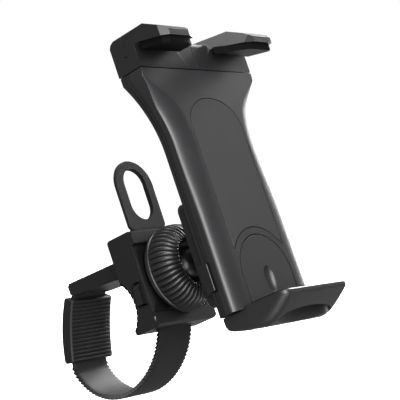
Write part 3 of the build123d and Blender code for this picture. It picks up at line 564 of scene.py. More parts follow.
def edge_fade(height):
    """1 where the edge is fully rounded, 0 where it has run out under the jaws."""
    return 1.0 - between(height, fade_from, fade_to)


def side_swell(height, depth):
    """How far the side stands out past the plain outline at a depth behind the front."""
    return side_out * edge_fade(height) * (body_depth - depth) / (body_depth - edge_deep)


def front_section(share, height):
    """Point (x, depth) of the cross-section, for share -1 at the left seam to 1 at the right."""
    side = math.copysign(1.0, share)
    share = abs(share)
    fade = edge_fade(height)
    wide, deep = edge_wide * fade + hair, edge_deep * fade + hair
    full = 2.0 - 0.5 * between(height, full_low, full_high)
    half = half_width(height) + side_swell(height, deep)
    flat_until, edge_until = 0.35, 0.92  # shares of the columns where the flat and the edge end
    if share < flat_until:
        return side * (half - wide) * share / flat_until, 0.0
    if share < edge_until:
        turn = (share - flat_until) / (edge_until - flat_until) * math.pi / 2
        return (side * (half - wide * (1 - math.sin(turn) ** (2 / full))),
                deep * (1 - math.cos(turn) ** (2 / full)))
    depth = deep + (split_y - face_y - deep) * (share - edge_until) / (1 - edge_until)
    return side * (half_width(height) + side_swell(height, depth)), depth


only(None)
bpy.ops.mesh.primitive_grid_add(x_subdivisions=across_count, y_subdivisions=up_count, size=2)
front = bpy.context.object
front.name = "cradle_front"
for vertex in front.data.vertices:
    height = (vertex.co.y + 1) / 2 * body_height
    x, depth = front_section(vertex.co.x, height)
    vertex.co = (x, face_y + depth, base_z + height)
select_whole(front)
bpy.ops.mesh.normals_make_consistent(inside=False)
only(front)
if sum(face.normal.y * face.area for face in front.data.polygons) > 0:
    select_whole(front)                  # an open sheet may be turned the wrong way
    bpy.ops.mesh.flip_normals()
    only(front)
modify(front, "SOLIDIFY", thickness=shell_wall, offset=-1.0, use_even_offset=True)
print("front shell grid:", len(front.data.vertices))

# %% Arch for the tongue and bed for the inlay
tongue_half = 18.0
tongue_top = 32.0
tongue_gap = 0.45
inlay_low, inlay_high = upright_box("front_inlay")
inlay_half = inlay_high.x
inlay_rise = 13.6                        # height of its elliptical top
inlay_land = 3.8                         # shell left between the arch and the inlay
inlay_bed = 1.0
groove = 0.4                             # gap round the inlay, drawn a little wide so that it shows


def arch_outline(half, top, low, steps=32):
    """Round-topped outline in (x, z), from heights above the cradle's bottom."""
    points = [(-half, base_z + low), (half, base_z + low)]
    for k in range(steps + 1):
        turn = math.pi * k / steps
        points.append((half * math.cos(turn), base_z + top - half + half * math.sin(turn)))
    return points


def inlay_outline(grow, steps=32):
    """The inlay: straight sides, elliptical top, and a hollow foot round the tongue's arch."""
    half = inlay_half + grow
    side_top = inlay_high.z - inlay_rise
    low = inlay_low.z - grow
    hollow = tongue_half + inlay_land - grow
    hollow_z = base_z + tongue_top - tongue_half
    corner = math.acos(min(1.0, (low - hollow_z) / hollow))
    over = [math.pi * k / steps for k in range(steps + 1)]
    under = [-corner + 2 * corner * k / steps for k in range(steps + 1)]
    points = [(half * math.cos(turn), side_top + (inlay_rise + grow) * math.sin(turn)) for turn in over]
    points.append((-half, low))
    points += [(hollow * math.sin(turn), hollow_z + hollow * math.cos(turn)) for turn in under]
    points.append((half, low))
    return points


boolean(front, slab("arch", arch_outline(tongue_half + tongue_gap, tongue_top + tongue_gap, -3.0),
                    "Y", face_y - 2, face_y + shell_wall + 2))
boolean(front, slab("bed", inlay_outline(groove), "Y", face_y - 2, face_y + inlay_bed))
soften(front, 0.22, 2, 40.0)
finish_piece(front, ["front_shell"], smooth=24.0)

# %% [markdown]
# ## The inlay
#
# A sheet of rubber lies in a shallow bed on the face, so that a phone doesn't slide. It is cut from the
# same outline as its bed, a little smaller, which leaves the fine dark line round it. Its rim is rolled.

# %% Inlay
inlay = slab("inlay", inlay_outline(0.0), "Y", face_y + inlay_bed, face_y - 0.1)
soften(inlay, 0.3, 3, 50.0)
finish_piece(inlay, ["front_inlay"])

# %% [markdown]
# ## The rear shell
#
# The rear shell is already right in the CAD, down to its screw wells. It only lacks what a mould adds:
# soft edges, and the two fine lines along its sides, where the wall steps in. So its mesh is copied and
# merged, thin frames of the same outline cut the lines, its sides are moved out to meet the front
# shell's, and its edges are softened.

# %% Rear shell
side_lines = ((10.0, 0.45, 0.45), (8.3, 0.3, 0.25))   # depth behind the face, width and cut of each
past = 5.0                               # how far a cutter reaches past the cradle


def body_outline(inset, steps=28):
    """The cradle's outline in (x, z), drawn in by an inset."""
    heights = [-1.0] + [waist_height + (shoulder_height - waist_height) * k / steps
                        for k in range(steps + 1)] + [body_height + 1.0]
    right = [(half_width(h) - inset, base_z + h) for h in heights]
    return right + [(-x, z) for x, z in reversed(right)]


rear = copy_upright("rear_shell", "cradle_rear")
for line_depth, line_width, line_cut in side_lines:
    frame_cutter = block("line", (-half_top - past, face_y + line_depth, base_z - past),
                         (half_top + past, face_y + line_depth + line_width,
                          base_z + body_height + past))
    boolean(frame_cutter, slab("core", body_outline(line_cut), "Y", face_y + line_depth - 1,
                               face_y + line_depth + 2))
    boolean(rear, frame_cutter)
for vertex in rear.data.vertices:
    height, depth = vertex.co.z - base_z, vertex.co.y - face_y
    if abs(vertex.co.x) > half_width(height) - shell_wall - 0.6:
        vertex.co.x += math.copysign(side_swell(height, depth), vertex.co.x)
soften(rear, 0.2, 2, 40.0)
finish_piece(rear, ["rear_shell"])

# %% [markdown]
# ## The jaws
#
# The upper jaws are two mirrored mouldings that meet in the middle. Each is half of the head block with
# a claw in front. The claw's side profile is drawn once and extruded. Its inner end is then slanted by
# moving that end's corners, and a plan outline trims the two front corners. Where the claw grows out of
# the head, the inner corner is filled with a small radius: a bevel on those edges alone.

# %% The right jaw
head_low, head_high = upright_box("jaw_right")
seam_z = head_low.z
head_half = head_high.x
nose_y = head_low.y
jaw_top = head_high.z
seam_half = 0.16                         # half the gap between the two jaws
inner_x, inner_z = 10.7, 97.5            # the claw's inner face, where it meets the head's front
inner_slant, inner_splay = 0.6, 0.55     # how it leans outwards with height and towards the nose
under_front = 95.9                       # height of the claw's underside at the nose
under_back, under_back_y = 99.7, -79.6   # and at its highest point, near the head


def claw_inside(y, z):
    """Where the claw's slanted inner face lies, across the bar."""
    return inner_x + inner_slant * (z - inner_z) + inner_splay * (face_y - y)


claw_profile = [(rear_y, seam_z), (rear_y, jaw_top - 2.6), (rear_y - 1.0, jaw_top - 1.0),
                (rear_y - 3.0, jaw_top), (-85.2, jaw_top), (-92.7, 101.6), (nose_y, 98.8),
                (nose_y, under_front), (under_back_y, under_back), (-78.1, 99.4), (face_y, 98.0),
                (face_y, seam_z)]
jaw = slab("jaw_right", claw_profile, "X", 6.0, head_half)
for vertex in jaw.data.vertices:
    if vertex.co.x < 7.0:
        vertex.co.x = claw_inside(vertex.co.y, vertex.co.z)
corner_plan = [(-5, rear_y + 2), (-5, -90.3), (17.0, -92.4), (23.6, nose_y), (37.2, nose_y),
               (head_half, -92.5), (head_half + 1, -92.5), (head_half + 1, rear_y + 2)]
boolean(jaw, slab("corners", corner_plan, "Z", seam_z - 5, jaw_top + 5), "INTERSECT")
head_top = 103.4
front_round = 3.0
claw_fillet = 1.6
head_profile = [(rear_y, seam_z), (rear_y, head_top - 1.2), (rear_y - 1.2, head_top)]
head_profile += [(face_y + front_round * (1 - math.sin(turn)),
                  head_top - front_round * (1 - math.cos(turn)))
                 for turn in [math.pi / 2 * k / 6 for k in range(7)]]
head_profile.append((face_y, seam_z))
boolean(jaw, slab("head", head_profile, "X", seam_half, head_half), "UNION")
outward(jaw)
pick_edges(jaw, lambda a, b: all(abs(p.x - claw_inside(p.y, p.z)) < 0.05 and p.y > face_y - 0.05
                                 and p.z < head_top + 0.05 for p in (a, b)))
bpy.ops.mesh.bevel(offset=claw_fillet, segments=5, affect="EDGES", clamp_overlap=True)
only(jaw)
print("right jaw, faces:", len(jaw.data.polygons))

# %% Rear joint, rounded edges and the space inside
groove_y = -71.8                         # fine joint line round the claw, near the rear
groove_half, groove_deep = 0.15, 0.35
well_radius, well_depth = 2.3, 3.0

boolean(jaw, block("groove_side", (head_half - groove_deep, groove_y - groove_half, 100.8),
                   (head_half + 1, groove_y + groove_half, jaw_top + 1)))
boolean(jaw, block("groove_top", (claw_inside(groove_y, jaw_top) - 2, groove_y - groove_half,
                                  jaw_top - groove_deep),
                   (head_half + 1, groove_y + groove_half, jaw_top + 1)))
boolean(jaw, block("notch", (head_half - 0.6, -72.2, 95.9), (head_half + 1, -70.0, 96.7)))
soften(jaw, 0.8, 4, 22.0)
bar_low, bar_high = upright_box("carriage")
play = 0.1
boolean(jaw, block("bar_room", (-1, bar_low.y - play, seam_z - 2),
                   (bar_high.x + play, bar_low.y + 2.4 + play, bar_high.z + play)))
screw_low, screw_high = upright_box("jaw_screws")
screw_z = (screw_low.z + screw_high.z) / 2
for screw_x in (9.0, 28.0):
    boolean(jaw, rod("well", (screw_x, rear_y, screw_z), "Y", well_radius, well_depth))
outward(jaw)


def mirror_copy(piece, name):
    """The same piece for the other side of the middle."""
    twin = piece.copy()
    twin.data = piece.data.copy()
    twin.name = name
    bpy.context.scene.collection.objects.link(twin)
    for vertex in twin.data.vertices:
        vertex.co.x *= -1
    outward(twin)
    return twin


finish_piece(mirror_copy(jaw, "jaw_left"), ["jaw_left"], smooth=30.0)
finish_piece(jaw, ["jaw_right"], smooth=30.0)

# %% [markdown]
# A block of soft rubber lies under each claw, set in from its rim, and gives a little at the phone's
# edge. It follows the claw's slanting underside, and its plan repeats the claw's, a rim's width smaller.

# %% Jaw pads
pad_in = 1.4
pad_front = nose_y + pad_in
pad_thick = 3.2
under_slope = (under_back - under_front) / (under_back_y - nose_y)


def under_z(y):
    """Height of the claw's underside."""
    return under_front + under_slope * (y - nose_y)


pad_back = face_y - 2.6
pad_profile = [(pad_front, under_z(pad_front) + 0.3),
               (pad_front, under_z(pad_front) - pad_thick + 0.6),
               (pad_front + 0.5, under_z(pad_front) - pad_thick),
               (pad_back, under_z(pad_back) - pad_thick), (pad_back, under_z(pad_back) + 0.3)]
pad = slab("pad_right", pad_profile, "X", 8.0, head_half - pad_in)
for vertex in pad.data.vertices:
    if vertex.co.x < 9.0:
        vertex.co.x = claw_inside(vertex.co.y, 96.5) + pad_in
pad_plan = [(5, face_y), (5, -90.0), (18.6, -91.8), (24.4, pad_front), (36.4, pad_front),
            (head_half - pad_in, -91.6), (head_half, -91.6), (head_half, face_y)]
boolean(pad, slab("corners", pad_plan, "Z", 85, 105), "INTERSECT")
soften(pad, 0.4, 3, 30.0)
finish_piece(mirror_copy(pad, "pad_left"), ["jaw_pad_left"])
finish_piece(pad, ["jaw_pad_right"])

# %% [markdown]
# ## Bent grids
#
# The foot, the nut, the strap and the sleeve have no flat blank to cut from. Each is made as the front
# shell was: a flat grid whose points are placed by a short formula. Where the two sides of the grid
# meet, the doubled points are merged, and any open end is capped.

# %% Grid helper
def bent_grid(name, columns, rows, place):
    """Closed piece from a grid: place(u, v) gives each point, for u and v from 0 to 1."""
    only(None)
    bpy.ops.mesh.primitive_grid_add(x_subdivisions=columns, y_subdivisions=rows, size=2)
    piece = bpy.context.object
    piece.name = name
    for vertex in piece.data.vertices:
        vertex.co = place((vertex.co.x + 1) / 2, (vertex.co.y + 1) / 2)
    outward(piece)
    select_whole(piece)
    bpy.ops.mesh.fill_holes(sides=0)
    outward(piece)
    return piece


def along_path(points, share):
    """Point a share of the way along a list of points."""
    spot = share * (len(points) - 1)
    k = min(int(spot), len(points) - 2)
    return points[k] + (points[k + 1] - points[k]) * (spot - k)


# %% [markdown]
# ## The foot
#
# The foot is the lower jaw. From the side it is a wedge with a hollow belly line, and its lower edges
# are rounded generously where a hand would meet them. It is a bent grid: one closed outline for the
# middle, a smaller one for the flat cheeks, and a quarter circle that leads from one to the other. An
# oval is cut through for a charging lead. The tongue and the wide guide behind it slide in the cradle.

# %% Foot
foot_half = 24.5
foot_top_z = base_z + 1.0
foot_under_shell = base_z - 0.3
foot_round = 4.2                         # rounded side edges, across the foot
round_share = 0.24                       # share of the grid's rows that each of them takes
belly = [(rear_y, foot_under_shell), (rear_y, -27.6), (rear_y - 0.7, -29.0), (rear_y - 2.2, -29.6),
         (-73.0, -31.2), (-82.0, -32.7), (-84.4, -32.6), (-87.5, -31.8), (-91.0, -30.1), (-95.0, -27.6),
         (-98.4, -25.2), (-99.7, -24.2), (-100.0, -23.4), (-99.9, -22.0), (-99.3, foot_top_z),
         (face_y - 0.3, foot_top_z), (face_y - 0.3, foot_under_shell)]
cheek = [(rear_y - 0.3, foot_under_shell), (rear_y - 0.3, -26.2), (rear_y - 0.9, -27.3),
         (rear_y - 2.7, -28.0), (-73.0, -29.0), (-80.5, -29.8), (-82.6, -29.3), (-85.0, -28.2),
         (-88.0, -26.6), (-91.0, -25.0), (-93.8, -23.5), (-94.8, -22.8), (-95.3, -22.4), (-95.6, -22.0),
         (-95.6, foot_top_z), (face_y - 0.3, foot_top_z), (face_y - 0.3, foot_under_shell)]


def foot_point(u, v):
    """Point of the foot: u round its profile, v across it, easing from cheek to belly at each end."""
    near = min(v, 1 - v) / round_share
    turn = math.pi / 2 * min(near, 1.0)
    inset = foot_round * (1 - math.cos(turn))
    if near > 1:
        inset = foot_round + (foot_half - foot_round) * (near - 1) / (0.5 / round_share - 1)
    inner = along_path([Vector(p) for p in cheek + cheek[:1]], u)
    outer = along_path([Vector(p) for p in belly + belly[:1]], u)
    spot = inner + (outer - inner) * math.sin(turn)
    return math.copysign(foot_half - inset, v - 0.5), spot.x, spot.y


foot = bent_grid("foot_wedge", 3 * len(belly), 50, foot_point)
print("foot before its cuts, faces:", len(foot.data.polygons))

# %% Lead hole
slot_y = face_y - 11.0
slot_half, slot_depth = 20.0, 4.8
below_foot, above_foot = -40.0, -15.0


def lead_hole(grow):
    """Oval cutter through the foot, grown by a margin."""
    turns = [2 * math.pi * k / 48 for k in range(48)]
    outline = [((slot_half + grow) * math.cos(turn), slot_y + (slot_depth + grow) * math.sin(turn))
               for turn in turns]
    return slab("lead_hole", outline, "Z", below_foot, above_foot)


boolean(foot, lead_hole(0.0))
soften(foot, 0.3, 2, 34.0)
print("lead hole, mm:", 2 * slot_half, 2 * slot_depth)

# %% Tongue, guide and scoop
guide_y = face_y + shell_wall + 0.2
guide_half, guide_thick = 22.0, 2.0
guide_top = upright_box("foot")[1].z
scoop_at = (0.3, face_y - 1.5, -11.2)
scoop_size = (3.9, 3.5, 6.9)

tongue = slab("tongue", arch_outline(tongue_half, tongue_top, -0.6), "Y", face_y, guide_y + 0.1)
soften(tongue, 0.22, 2, 50.0)
guide = block("guide", (-guide_half, guide_y, foot_under_shell - 0.4),
              (guide_half, guide_y + guide_thick, guide_top))
soften(guide, 0.3, 2, 50.0)
boolean(foot, guide, "UNION")
boolean(foot, tongue, "UNION")
only(None)
bpy.ops.mesh.primitive_uv_sphere_add(segments=40, ring_count=24, radius=1.0, location=scoop_at,
                                     scale=scoop_size)
scoop = bpy.context.object
bpy.ops.object.transform_apply(location=True, rotation=True, scale=True)
boolean(foot, scoop)
outward(foot)
finish_piece(foot, ["foot"], smooth=30.0)

# %% [markdown]
# A mat of soft rubber lies on the foot, where the phone's lower edge stands. It is a thin prism with
# its two front corners cut back, a slightly larger lead hole, and three shallow grooves that grip.

# %% Foot mat
mat_low, mat_high = upright_box("foot_pad")
mat_corner, mat_corner_in = 4.0, 1.2
grip_wide, grip_deep, grip_end = 0.5, 0.35, 3.0

mat_outline = [(mat_low.x, mat_high.y), (mat_low.x, mat_low.y + mat_corner),
               (mat_low.x + mat_corner_in, mat_low.y + mat_corner_in),
               (mat_low.x + mat_corner, mat_low.y), (mat_high.x - mat_corner, mat_low.y),
               (mat_high.x - mat_corner_in, mat_low.y + mat_corner_in),
               (mat_high.x, mat_low.y + mat_corner), (mat_high.x, mat_high.y)]
mat = slab("foot_mat", mat_outline, "Z", foot_top_z - 0.1, mat_high.z)
boolean(mat, lead_hole(0.8))
for grip_y in (face_y - 3.0, face_y - 4.6, face_y - 18.3):
    boolean(mat, block("grip", (mat_low.x + grip_end, grip_y, mat_high.z - grip_deep),
                       (mat_high.x - grip_end, grip_y + grip_wide, mat_high.z + 1)))
soften(mat, 0.2, 2, 40.0)
finish_piece(mat, ["foot_pad"])

# %% [markdown]
# ## The locking nut
#
# The nut is a dome with 46 rounded ribs for the fingers. Its half section is a closed list of points.
# The grid turns that section about the ball joint's axis, and a wave round the axis lifts the ribs.
# They start in front of a plain rear rim, run over the dome and die out towards the hole for the
# ball's stem.

# %% Nut
joint_z = 10.25
ball_y = -35.2
rib_count = 46
rib_height = 1.15
nut_section = [Vector(point) for point in (                  # (radius, y)
    (14.1, -28.4), (19.3, -28.4), (20.1, -28.8), (20.4, -29.6), (20.4, -30.6), (20.0, -31.1),
    (20.15, -31.8), (20.2, -33.2), (20.05, -34.8), (19.7, -36.4), (19.1, -37.9), (18.3, -39.3),
    (17.2, -40.6), (15.9, -41.6), (14.4, -42.4), (13.2, -42.8), (12.5, -42.8), (12.0, -42.4),
    (11.6, -41.4), (11.0, -40.2), (10.0, -39.0), (8.6, -38.2), (14.1, -38.2), (14.1, -28.4))]


def nut_point(u, v):
    """Point of the ribbed dome: u round the axis, v along the half section."""
    section = along_path(nut_section, v)
    turn = 2 * math.pi * u
    # Ribs fade in past the plain rim and out near the hole, and the bore inside has none.
    ribbed = between(-section.y, 31.0, 32.4) * between(section.x, 10.2, 12.5) * (section.y < -31.0)
    ribbed *= 1 - between(section.x, 14.0, 14.2) * (section.y > -38.3) * (section.x < 14.3)
    wave = abs(math.sin(rib_count * turn / 2)) ** 0.7
    lift = ribbed * rib_height * (0.35 + 0.65 * section.x / 20) * (wave - 0.6)
    tilt = math.pi / 2 * between(-section.y, 36.0, 43.0)      # from outwards to forwards
    radius = section.x + lift * math.cos(tilt)
    return (radius * math.cos(turn), section.y - lift * math.sin(tilt),
            joint_z + radius * math.sin(turn))


nut = bent_grid("ribbed_nut", rib_count * 12, 3 * (len(nut_section) - 1), nut_point)
finish_piece(nut, ["locking_nut"], smooth=50.0)

# %% [markdown]
# ## The strap
#
# The strap is one TPU moulding. It starts at a pin in the arm, bends down through the sleeve, goes
# under the bar and rises through the housing to the pull loop. Saw teeth on both edges hold it in the
# housing's levers. Its middle line is a chain of arcs. The grid follows that line with a rounded band
# section, and the half width steps in and out for the teeth.

# %% The strap's middle line
# Radius, first and last angle of each arc, in degrees.
strap_arcs = [(80.0, 37.5, 10.0), (8.0, 10.0, -20.0), (27.0, -20.0, -100.0)]
strap_start = (24.5, 21.6)
strap_front = 20.9                       # the straight run through the housing, in front of the bar
loop_start = 43.5
straight_up = -180.0
route_step = 0.25


def route_points():
    """Points and headings in small steps along the strap, from the pin to the loop."""
    spot = Vector(strap_start)
    points = []
    arcs = list(strap_arcs)
    while arcs:
        radius, first, last = arcs.pop(0)
        count = max(2, int(radius * math.radians(abs(last - first)) / route_step))
        centre = spot - radius * Vector((math.cos(math.radians(first)), math.sin(math.radians(first))))
        for k in range(count):
            angle = math.radians(first + (last - first) * k / count)
            points.append((centre + radius * Vector((math.cos(angle), math.sin(angle))),
                           math.degrees(angle)))
        angle = math.radians(last)
        spot = centre + radius * Vector((math.cos(angle), math.sin(angle)))
        if not arcs and last > straight_up + 1:              # one more arc, to end at the straight run
            arcs.append(((spot.x + strap_front) / (1 + math.cos(math.radians(last))), last, straight_up))
    count = int((loop_start - spot.y) / route_step)
    points += [(spot + Vector((0, (loop_start - spot.y) * k / count)), straight_up)
               for k in range(count + 1)]
    return points


route = route_points()
route_length = route_step * len(route)
print("strap, mm:", round(route_length))


def on_route(along):
    """Point and heading at a distance along the strap."""
    spot = min(max(along / route_step, 0.0), len(route) - 1.001)
    k = int(spot)
    (a, turn_a), (b, turn_b) = route[k], route[k + 1]
    return a + (b - a) * (spot - k), turn_a + (turn_b - turn_a) * (spot - k)


def band_point(along, side, off):
    """Point `side` across the strap and `off` away from the bar, at a distance along it."""
    spot, turn = on_route(along)
    outwards = Vector((math.cos(math.radians(turn)), math.sin(math.radians(turn))))
    spot = spot + outwards * off
    return side, spot.x, spot.y


def ring(u, half, thick, squareness):
    """Point (across, off) on a rounded rectangle, for u from 0 to 1 round it."""
    turn = 2 * math.pi * u
    power = 2 / squareness
    c, s = math.cos(turn), math.sin(turn)
    return (math.copysign(half * abs(c) ** power, c), math.copysign(thick * abs(s) ** power, s))


# %% Strap
strap_thick = 2.2
core_half = 11.1
plain_edge = 0.35                        # edge outside the core where there are no teeth
tooth_pitch = 2.0
tooth_height = 1.15
tooth_foot = 0.1
sleeve_from, sleeve_to = 5.2, 36.2       # distances along the strap
teeth_from, teeth_to = sleeve_to + 2.0, route_length - 4
line_deep, line_at, line_half = 0.35, 0.86, 0.035            # groove beside the teeth, on both faces
eye_radius, pin_radius = 2.9, 1.52
strap_rows = int(route_length / (tooth_pitch / 4)) - 2       # four to a tooth


def tooth(along):
    """Height of the saw edge at a distance along the strap."""
    if along < teeth_from or along > teeth_to:
        return plain_edge
    share = (along / tooth_pitch) % 1.0
    return tooth_height * (1 - abs(2 * share - 1)) + tooth_foot


def strap_point(u, v):
    """Point of the toothed band: u round the section, v along the route."""
    along = v * strap_rows * tooth_pitch / 4
    half = core_half + tooth(along)
    across, off = ring(u, half, strap_thick / 2, squareness=9.0)
    if abs(off) < strap_thick / 2 - 0.02:                    # not on a broad face
        return band_point(along, across, off)
    rim = abs(across) / half
    deep = line_deep * max(0.0, 1 - abs(rim - line_at) / line_half)
    return band_point(along, across, off - math.copysign(deep, off))


strap = bent_grid("toothed_strap", 56, strap_rows, strap_point)
boolean(strap, rod("eye", (0, *strap_start), "X", eye_radius, 18.0, 40), "UNION")
boolean(strap, rod("pin_hole", (0, *strap_start), "X", pin_radius, 40.0, 32))
print("teeth on each edge:", round((teeth_to - teeth_from) / tooth_pitch))

# %% [markdown]
# The strap ends in a flat loop for one finger, round at the top, with a long hole. It is a prism with
# rounded edges, joined to the band. The hole is cut after the two are joined, so that it goes through
# the end of the band as well.

# %% Pull loop
loop_high = 68.0
loop_half = 12.7
hole_half = 7.6
hole_low, hole_high = 46.0, 56.2         # centres of the hole's round ends
loop_y = -strap_front
loop_half_thick = strap_thick / 2 + 0.05


def stadium(half, low, high, steps=28):
    """Outline in (x, z) with round ends, between two centre heights."""
    turns = [math.pi * k / steps for k in range(steps + 1)]
    upper = [(half * math.cos(turn), high + half * math.sin(turn)) for turn in turns]
    lower = [(-half * math.cos(turn), low - half * math.sin(turn)) for turn in turns]
    return upper + lower


loop_outline = [(loop_half * math.cos(turn), loop_high - loop_half + loop_half * math.sin(turn))
                for turn in [math.pi * k / 36 for k in range(37)]]
loop_outline += [(-loop_half, 35.5), (-11.3, 33.6), (11.3, 33.6), (loop_half, 35.5)]
loop = slab("loop", loop_outline, "Y", loop_y - loop_half_thick, loop_y + loop_half_thick)
soften(loop, 0.6, 4, 40.0)
boolean(strap, loop, "UNION")
boolean(strap, slab("hole", stadium(hole_half, hole_low, hole_high), "Y", loop_y - 3, loop_y + 3))
outward(strap)
finish_piece(strap, ["strap"], smooth=38.0)

# %% [markdown]
# ## The sleeve
#
# A rubber sleeve slides along the strap and rests on the bar. Sixteen ribs run across both of its broad
# faces. It is a bent grid again, swollen a little in the middle, with the strap's channel cut through.

# %% Sleeve
sleeve_ribs = 16
sleeve_half = 14.5
sleeve_thick = 6.6
sleeve_rib_height = 0.6
sleeve_swell = 0.35
end_tuck = 0.5                           # rounds both ends
channel_half, channel_half_thick = 12.3, 1.4


def sleeve_point(u, v):
    """Point of the ribbed sleeve: u round the section, v along the strap."""
    along = sleeve_from + (sleeve_to - sleeve_from) * v
    end = min(v, 1 - v) * (sleeve_to - sleeve_from)
    tuck = end_tuck * (1 - between(end, 0.0, 0.7))
    swell = sleeve_swell * math.sin(math.pi * v)
    wave = abs(math.sin(math.pi * sleeve_ribs * v)) ** 0.6
    across, off = ring(u, sleeve_half - tuck, sleeve_thick / 2 - tuck + swell, squareness=7.0)
    broad = between(abs(off), sleeve_thick / 2 - 1.2, sleeve_thick / 2 - 0.6)
    broad *= 1 - between(abs(across), sleeve_half - 1.6, sleeve_half - 0.9)
    return band_point(along, across, off - math.copysign(sleeve_rib_height * broad * (1 - wave), off))


sleeve = bent_grid("sleeve", 64, sleeve_ribs * 8, sleeve_point)


def channel_point(u, v):
    """Point of the strap's channel through the sleeve."""
    across, off = ring(u, channel_half, channel_half_thick, squareness=12.0)
    return band_point(sleeve_from - 2 + (sleeve_to - sleeve_from + 4) * v, across, off)


boolean(sleeve, bent_grid("channel", 40, 24, channel_point))
outward(sleeve)
finish_piece(sleeve, ["strap_sleeve"], smooth=40.0)

# %% [markdown]
# ## Housing, plate and small mouldings
#
# These pieces are exact in the CAD, with their pockets, bores and screw wells. What they lack is the
# small radius that every moulded edge has, which is what catches the light. So each mesh is copied,
# merged into clean faces and softened by the radius that suits it.
#
# A few need more first. The button's face follows the swell of the cradle's side, and each lever has a
# thumb ramp that stands out at its lower end: there, moving points is enough. Plain lips run along the
# cover's top and bottom, over the screws, and are joined as prisms. A window round each lever leaves
# room for a fingertip, and is cut.

# %% What the copies lack
button_face, button_swell = -24.0, 1.3   # points beyond the first belong to its outer face
lever_face = 20.4                        # and beyond this, to a lever's
ramp_least, ramp_rise = 0.3, 1.2
lip_rise, lip_wide = 1.8, 7.0            # wide enough to hide the screws
window_low, window_high = (19.5, -25.0, -3.4), (22.0, -17.8, 8.6)    # corners of the right one


def swell_button(button):
    """Move the button's outer face out to the cradle's swollen side."""
    for vertex in button.data.vertices:
        vertex.co.x -= button_swell * (vertex.co.x < button_face)


def ramp_lever(lever, low, high):
    """Move a lever's outer face out, most at its lower end."""
    for vertex in lever.data.vertices:
        if abs(vertex.co.x) > lever_face:
            share = (high.z - vertex.co.z) / (high.z - low.z)
            vertex.co.x += math.copysign(ramp_least + ramp_rise * share, vertex.co.x)


def add_lips(cover, low, high):
    """Join a plain lip to the cover along its bottom and along its top."""
    screw_face = upright_box("housing_screws")[0].y - 0.2
    for foot_z, far_z in ((low.z, low.z + lip_wide), (high.z - lip_wide, high.z)):
        lip = [(screw_face + lip_rise, foot_z + 0.01), (screw_face, foot_z + lip_rise / 2),
               (screw_face, far_z - lip_rise / 2), (screw_face + lip_rise, far_z - 0.01)]
        boolean(cover, slab("lip", lip, "X", low.x + 0.02, high.x - 0.02), "UNION")


def cut_windows(housing):
    """Cut the window round each lever."""
    (near_x, low_y, low_z), (far_x, high_y, high_z) = window_low, window_high
    for left_x, right_x in ((-far_x, -near_x), (near_x, far_x)):
        boolean(housing, block("window", (left_x, low_y, low_z), (right_x, high_y, high_z)))


print("lips, mm:", lip_wide, " lever ramp, mm:", ramp_least, "to", ramp_least + ramp_rise)

# %% Softened mouldings
# Node, edge radius, and the sharpest turn in degrees that stays as it is.
edge_radii = (("clamp_body", 0.45, 40.0), ("clamp_cover", 0.4, 30.0), ("adapter_plate", 0.4, 40.0),
              ("release_lever_left", 0.3, 30.0), ("release_lever_right", 0.3, 30.0),
              ("release_button", 0.55, 40.0), ("saddle_liner", 0.15, 40.0), ("ball_stem", 0.25, 40.0),
              ("carriage", 0.25, 40.0), ("swivel_washer", 0.1, 40.0), ("swivel_screw", 0.12, 40.0),
              ("housing_screws", 0.08, 40.0), ("plate_screws", 0.08, 40.0),
              ("shell_screws", 0.08, 40.0), ("jaw_screws", 0.08, 40.0), ("strap_pin", 0.25, 40.0),
              ("lever_pin_left", 0.15, 40.0), ("lever_pin_right", 0.15, 40.0))
for node, radius, edge_angle in edge_radii:
    moulding = copy_upright(node, node + "_softened")
    low, high = upright_box(node)
    if node == "release_button":
        swell_button(moulding)
    if node.startswith("release_lever"):
        ramp_lever(moulding, low, high)
    if node == "clamp_cover":
        add_lips(moulding, low, high)
    if node in ("clamp_body", "clamp_cover"):
        cut_windows(moulding)
    soften(moulding, radius, 2, edge_angle)
    finish_piece(moulding, [node])

# %% [markdown]
# ## The ball
#
# The ball is turned or moulded from solid nylon, with its stem on the front. A sphere primitive, with
# its poles laid along the stem, gives it directly, and only its hidden back is a little flat.

# %% Ball
ball_radius, ball_flat = 9.0, 8.2

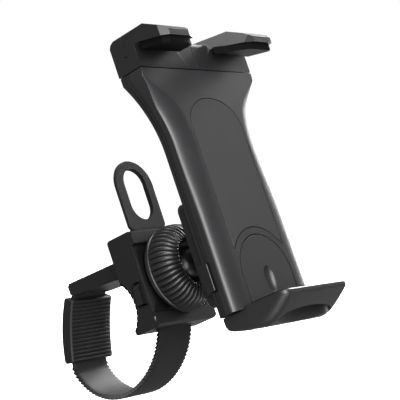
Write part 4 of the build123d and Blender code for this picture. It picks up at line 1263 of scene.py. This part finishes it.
only(None)
bpy.ops.mesh.primitive_uv_sphere_add(segments=64, ring_count=40, radius=ball_radius,
                                     location=(0, ball_y, joint_z), rotation=(math.pi / 2, 0, 0))
ball = bpy.context.object
ball.name = "joint_ball"
bpy.ops.object.transform_apply(location=True, rotation=True, scale=True)
for vertex in ball.data.vertices:
    if vertex.co.y - ball_y > ball_flat:
        vertex.co.y = ball_y + ball_flat
finish_piece(ball, ["ball"], smooth=40.0)

# %% [markdown]
# ## The springs
#
# Springs are coils of drawn wire. A coil is a bent grid too, a small circle that climbs round an axis,
# and its radius and length come from the spring's CAD box. The two extension springs stretch between
# the cradle and the carriage; here each coil is tied to neither body and stays where it is drawn. The
# button's spring rides with its node's body, at the length that it is drawn.

# %% Springs
def coil(node, axis, wire, turns, rides=True):
    """Closed coil of round wire that fills a spring's CAD box along one axis."""
    low, high = upright_box(node)
    centre, span = (low + high) / 2, high - low
    along = "XYZ".index(axis)
    one, two = (along + 1) % 3, (along + 2) % 3
    radius = min(span[one], span[two]) / 2 - wire / 2

    def wire_point(u, v):
        turn, about = 2 * math.pi * turns * v, 2 * math.pi * u
        out = radius + wire / 2 * math.cos(about)
        point = Vector(centre)
        point[one] += out * math.cos(turn)
        point[two] += out * math.sin(turn)
        point[along] += (v - 0.5) * (span[along] - wire) + wire / 2 * math.sin(about)
        return point

    made = bent_grid(node + "_coil", 10, int(turns * 20), wire_point)
    return finish_piece(made, [node], rides=rides)


lever_wire, lever_turns = 0.3, 4
extension_wire, extension_turns = 0.45, 30
button_wire, button_turns = 0.35, 6

for side in ("left", "right"):
    coil("lever_spring_" + side, "Y", lever_wire, lever_turns)
    stretched = coil("extension_spring_" + side, "Z", extension_wire, extension_turns, rides=False)
    low, high = upright_box("extension_spring_" + side)
    x, y = (low.x + high.x) / 2, (low.y + high.y) / 2
    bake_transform(stretched)
pressed = coil("button_spring", "X", button_wire, button_turns)
low, high = upright_box("button_spring")
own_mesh(pressed)

# %% The visual box
low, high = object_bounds()
print("visual box, mm:", [round(1000 * side) for side in high - low])
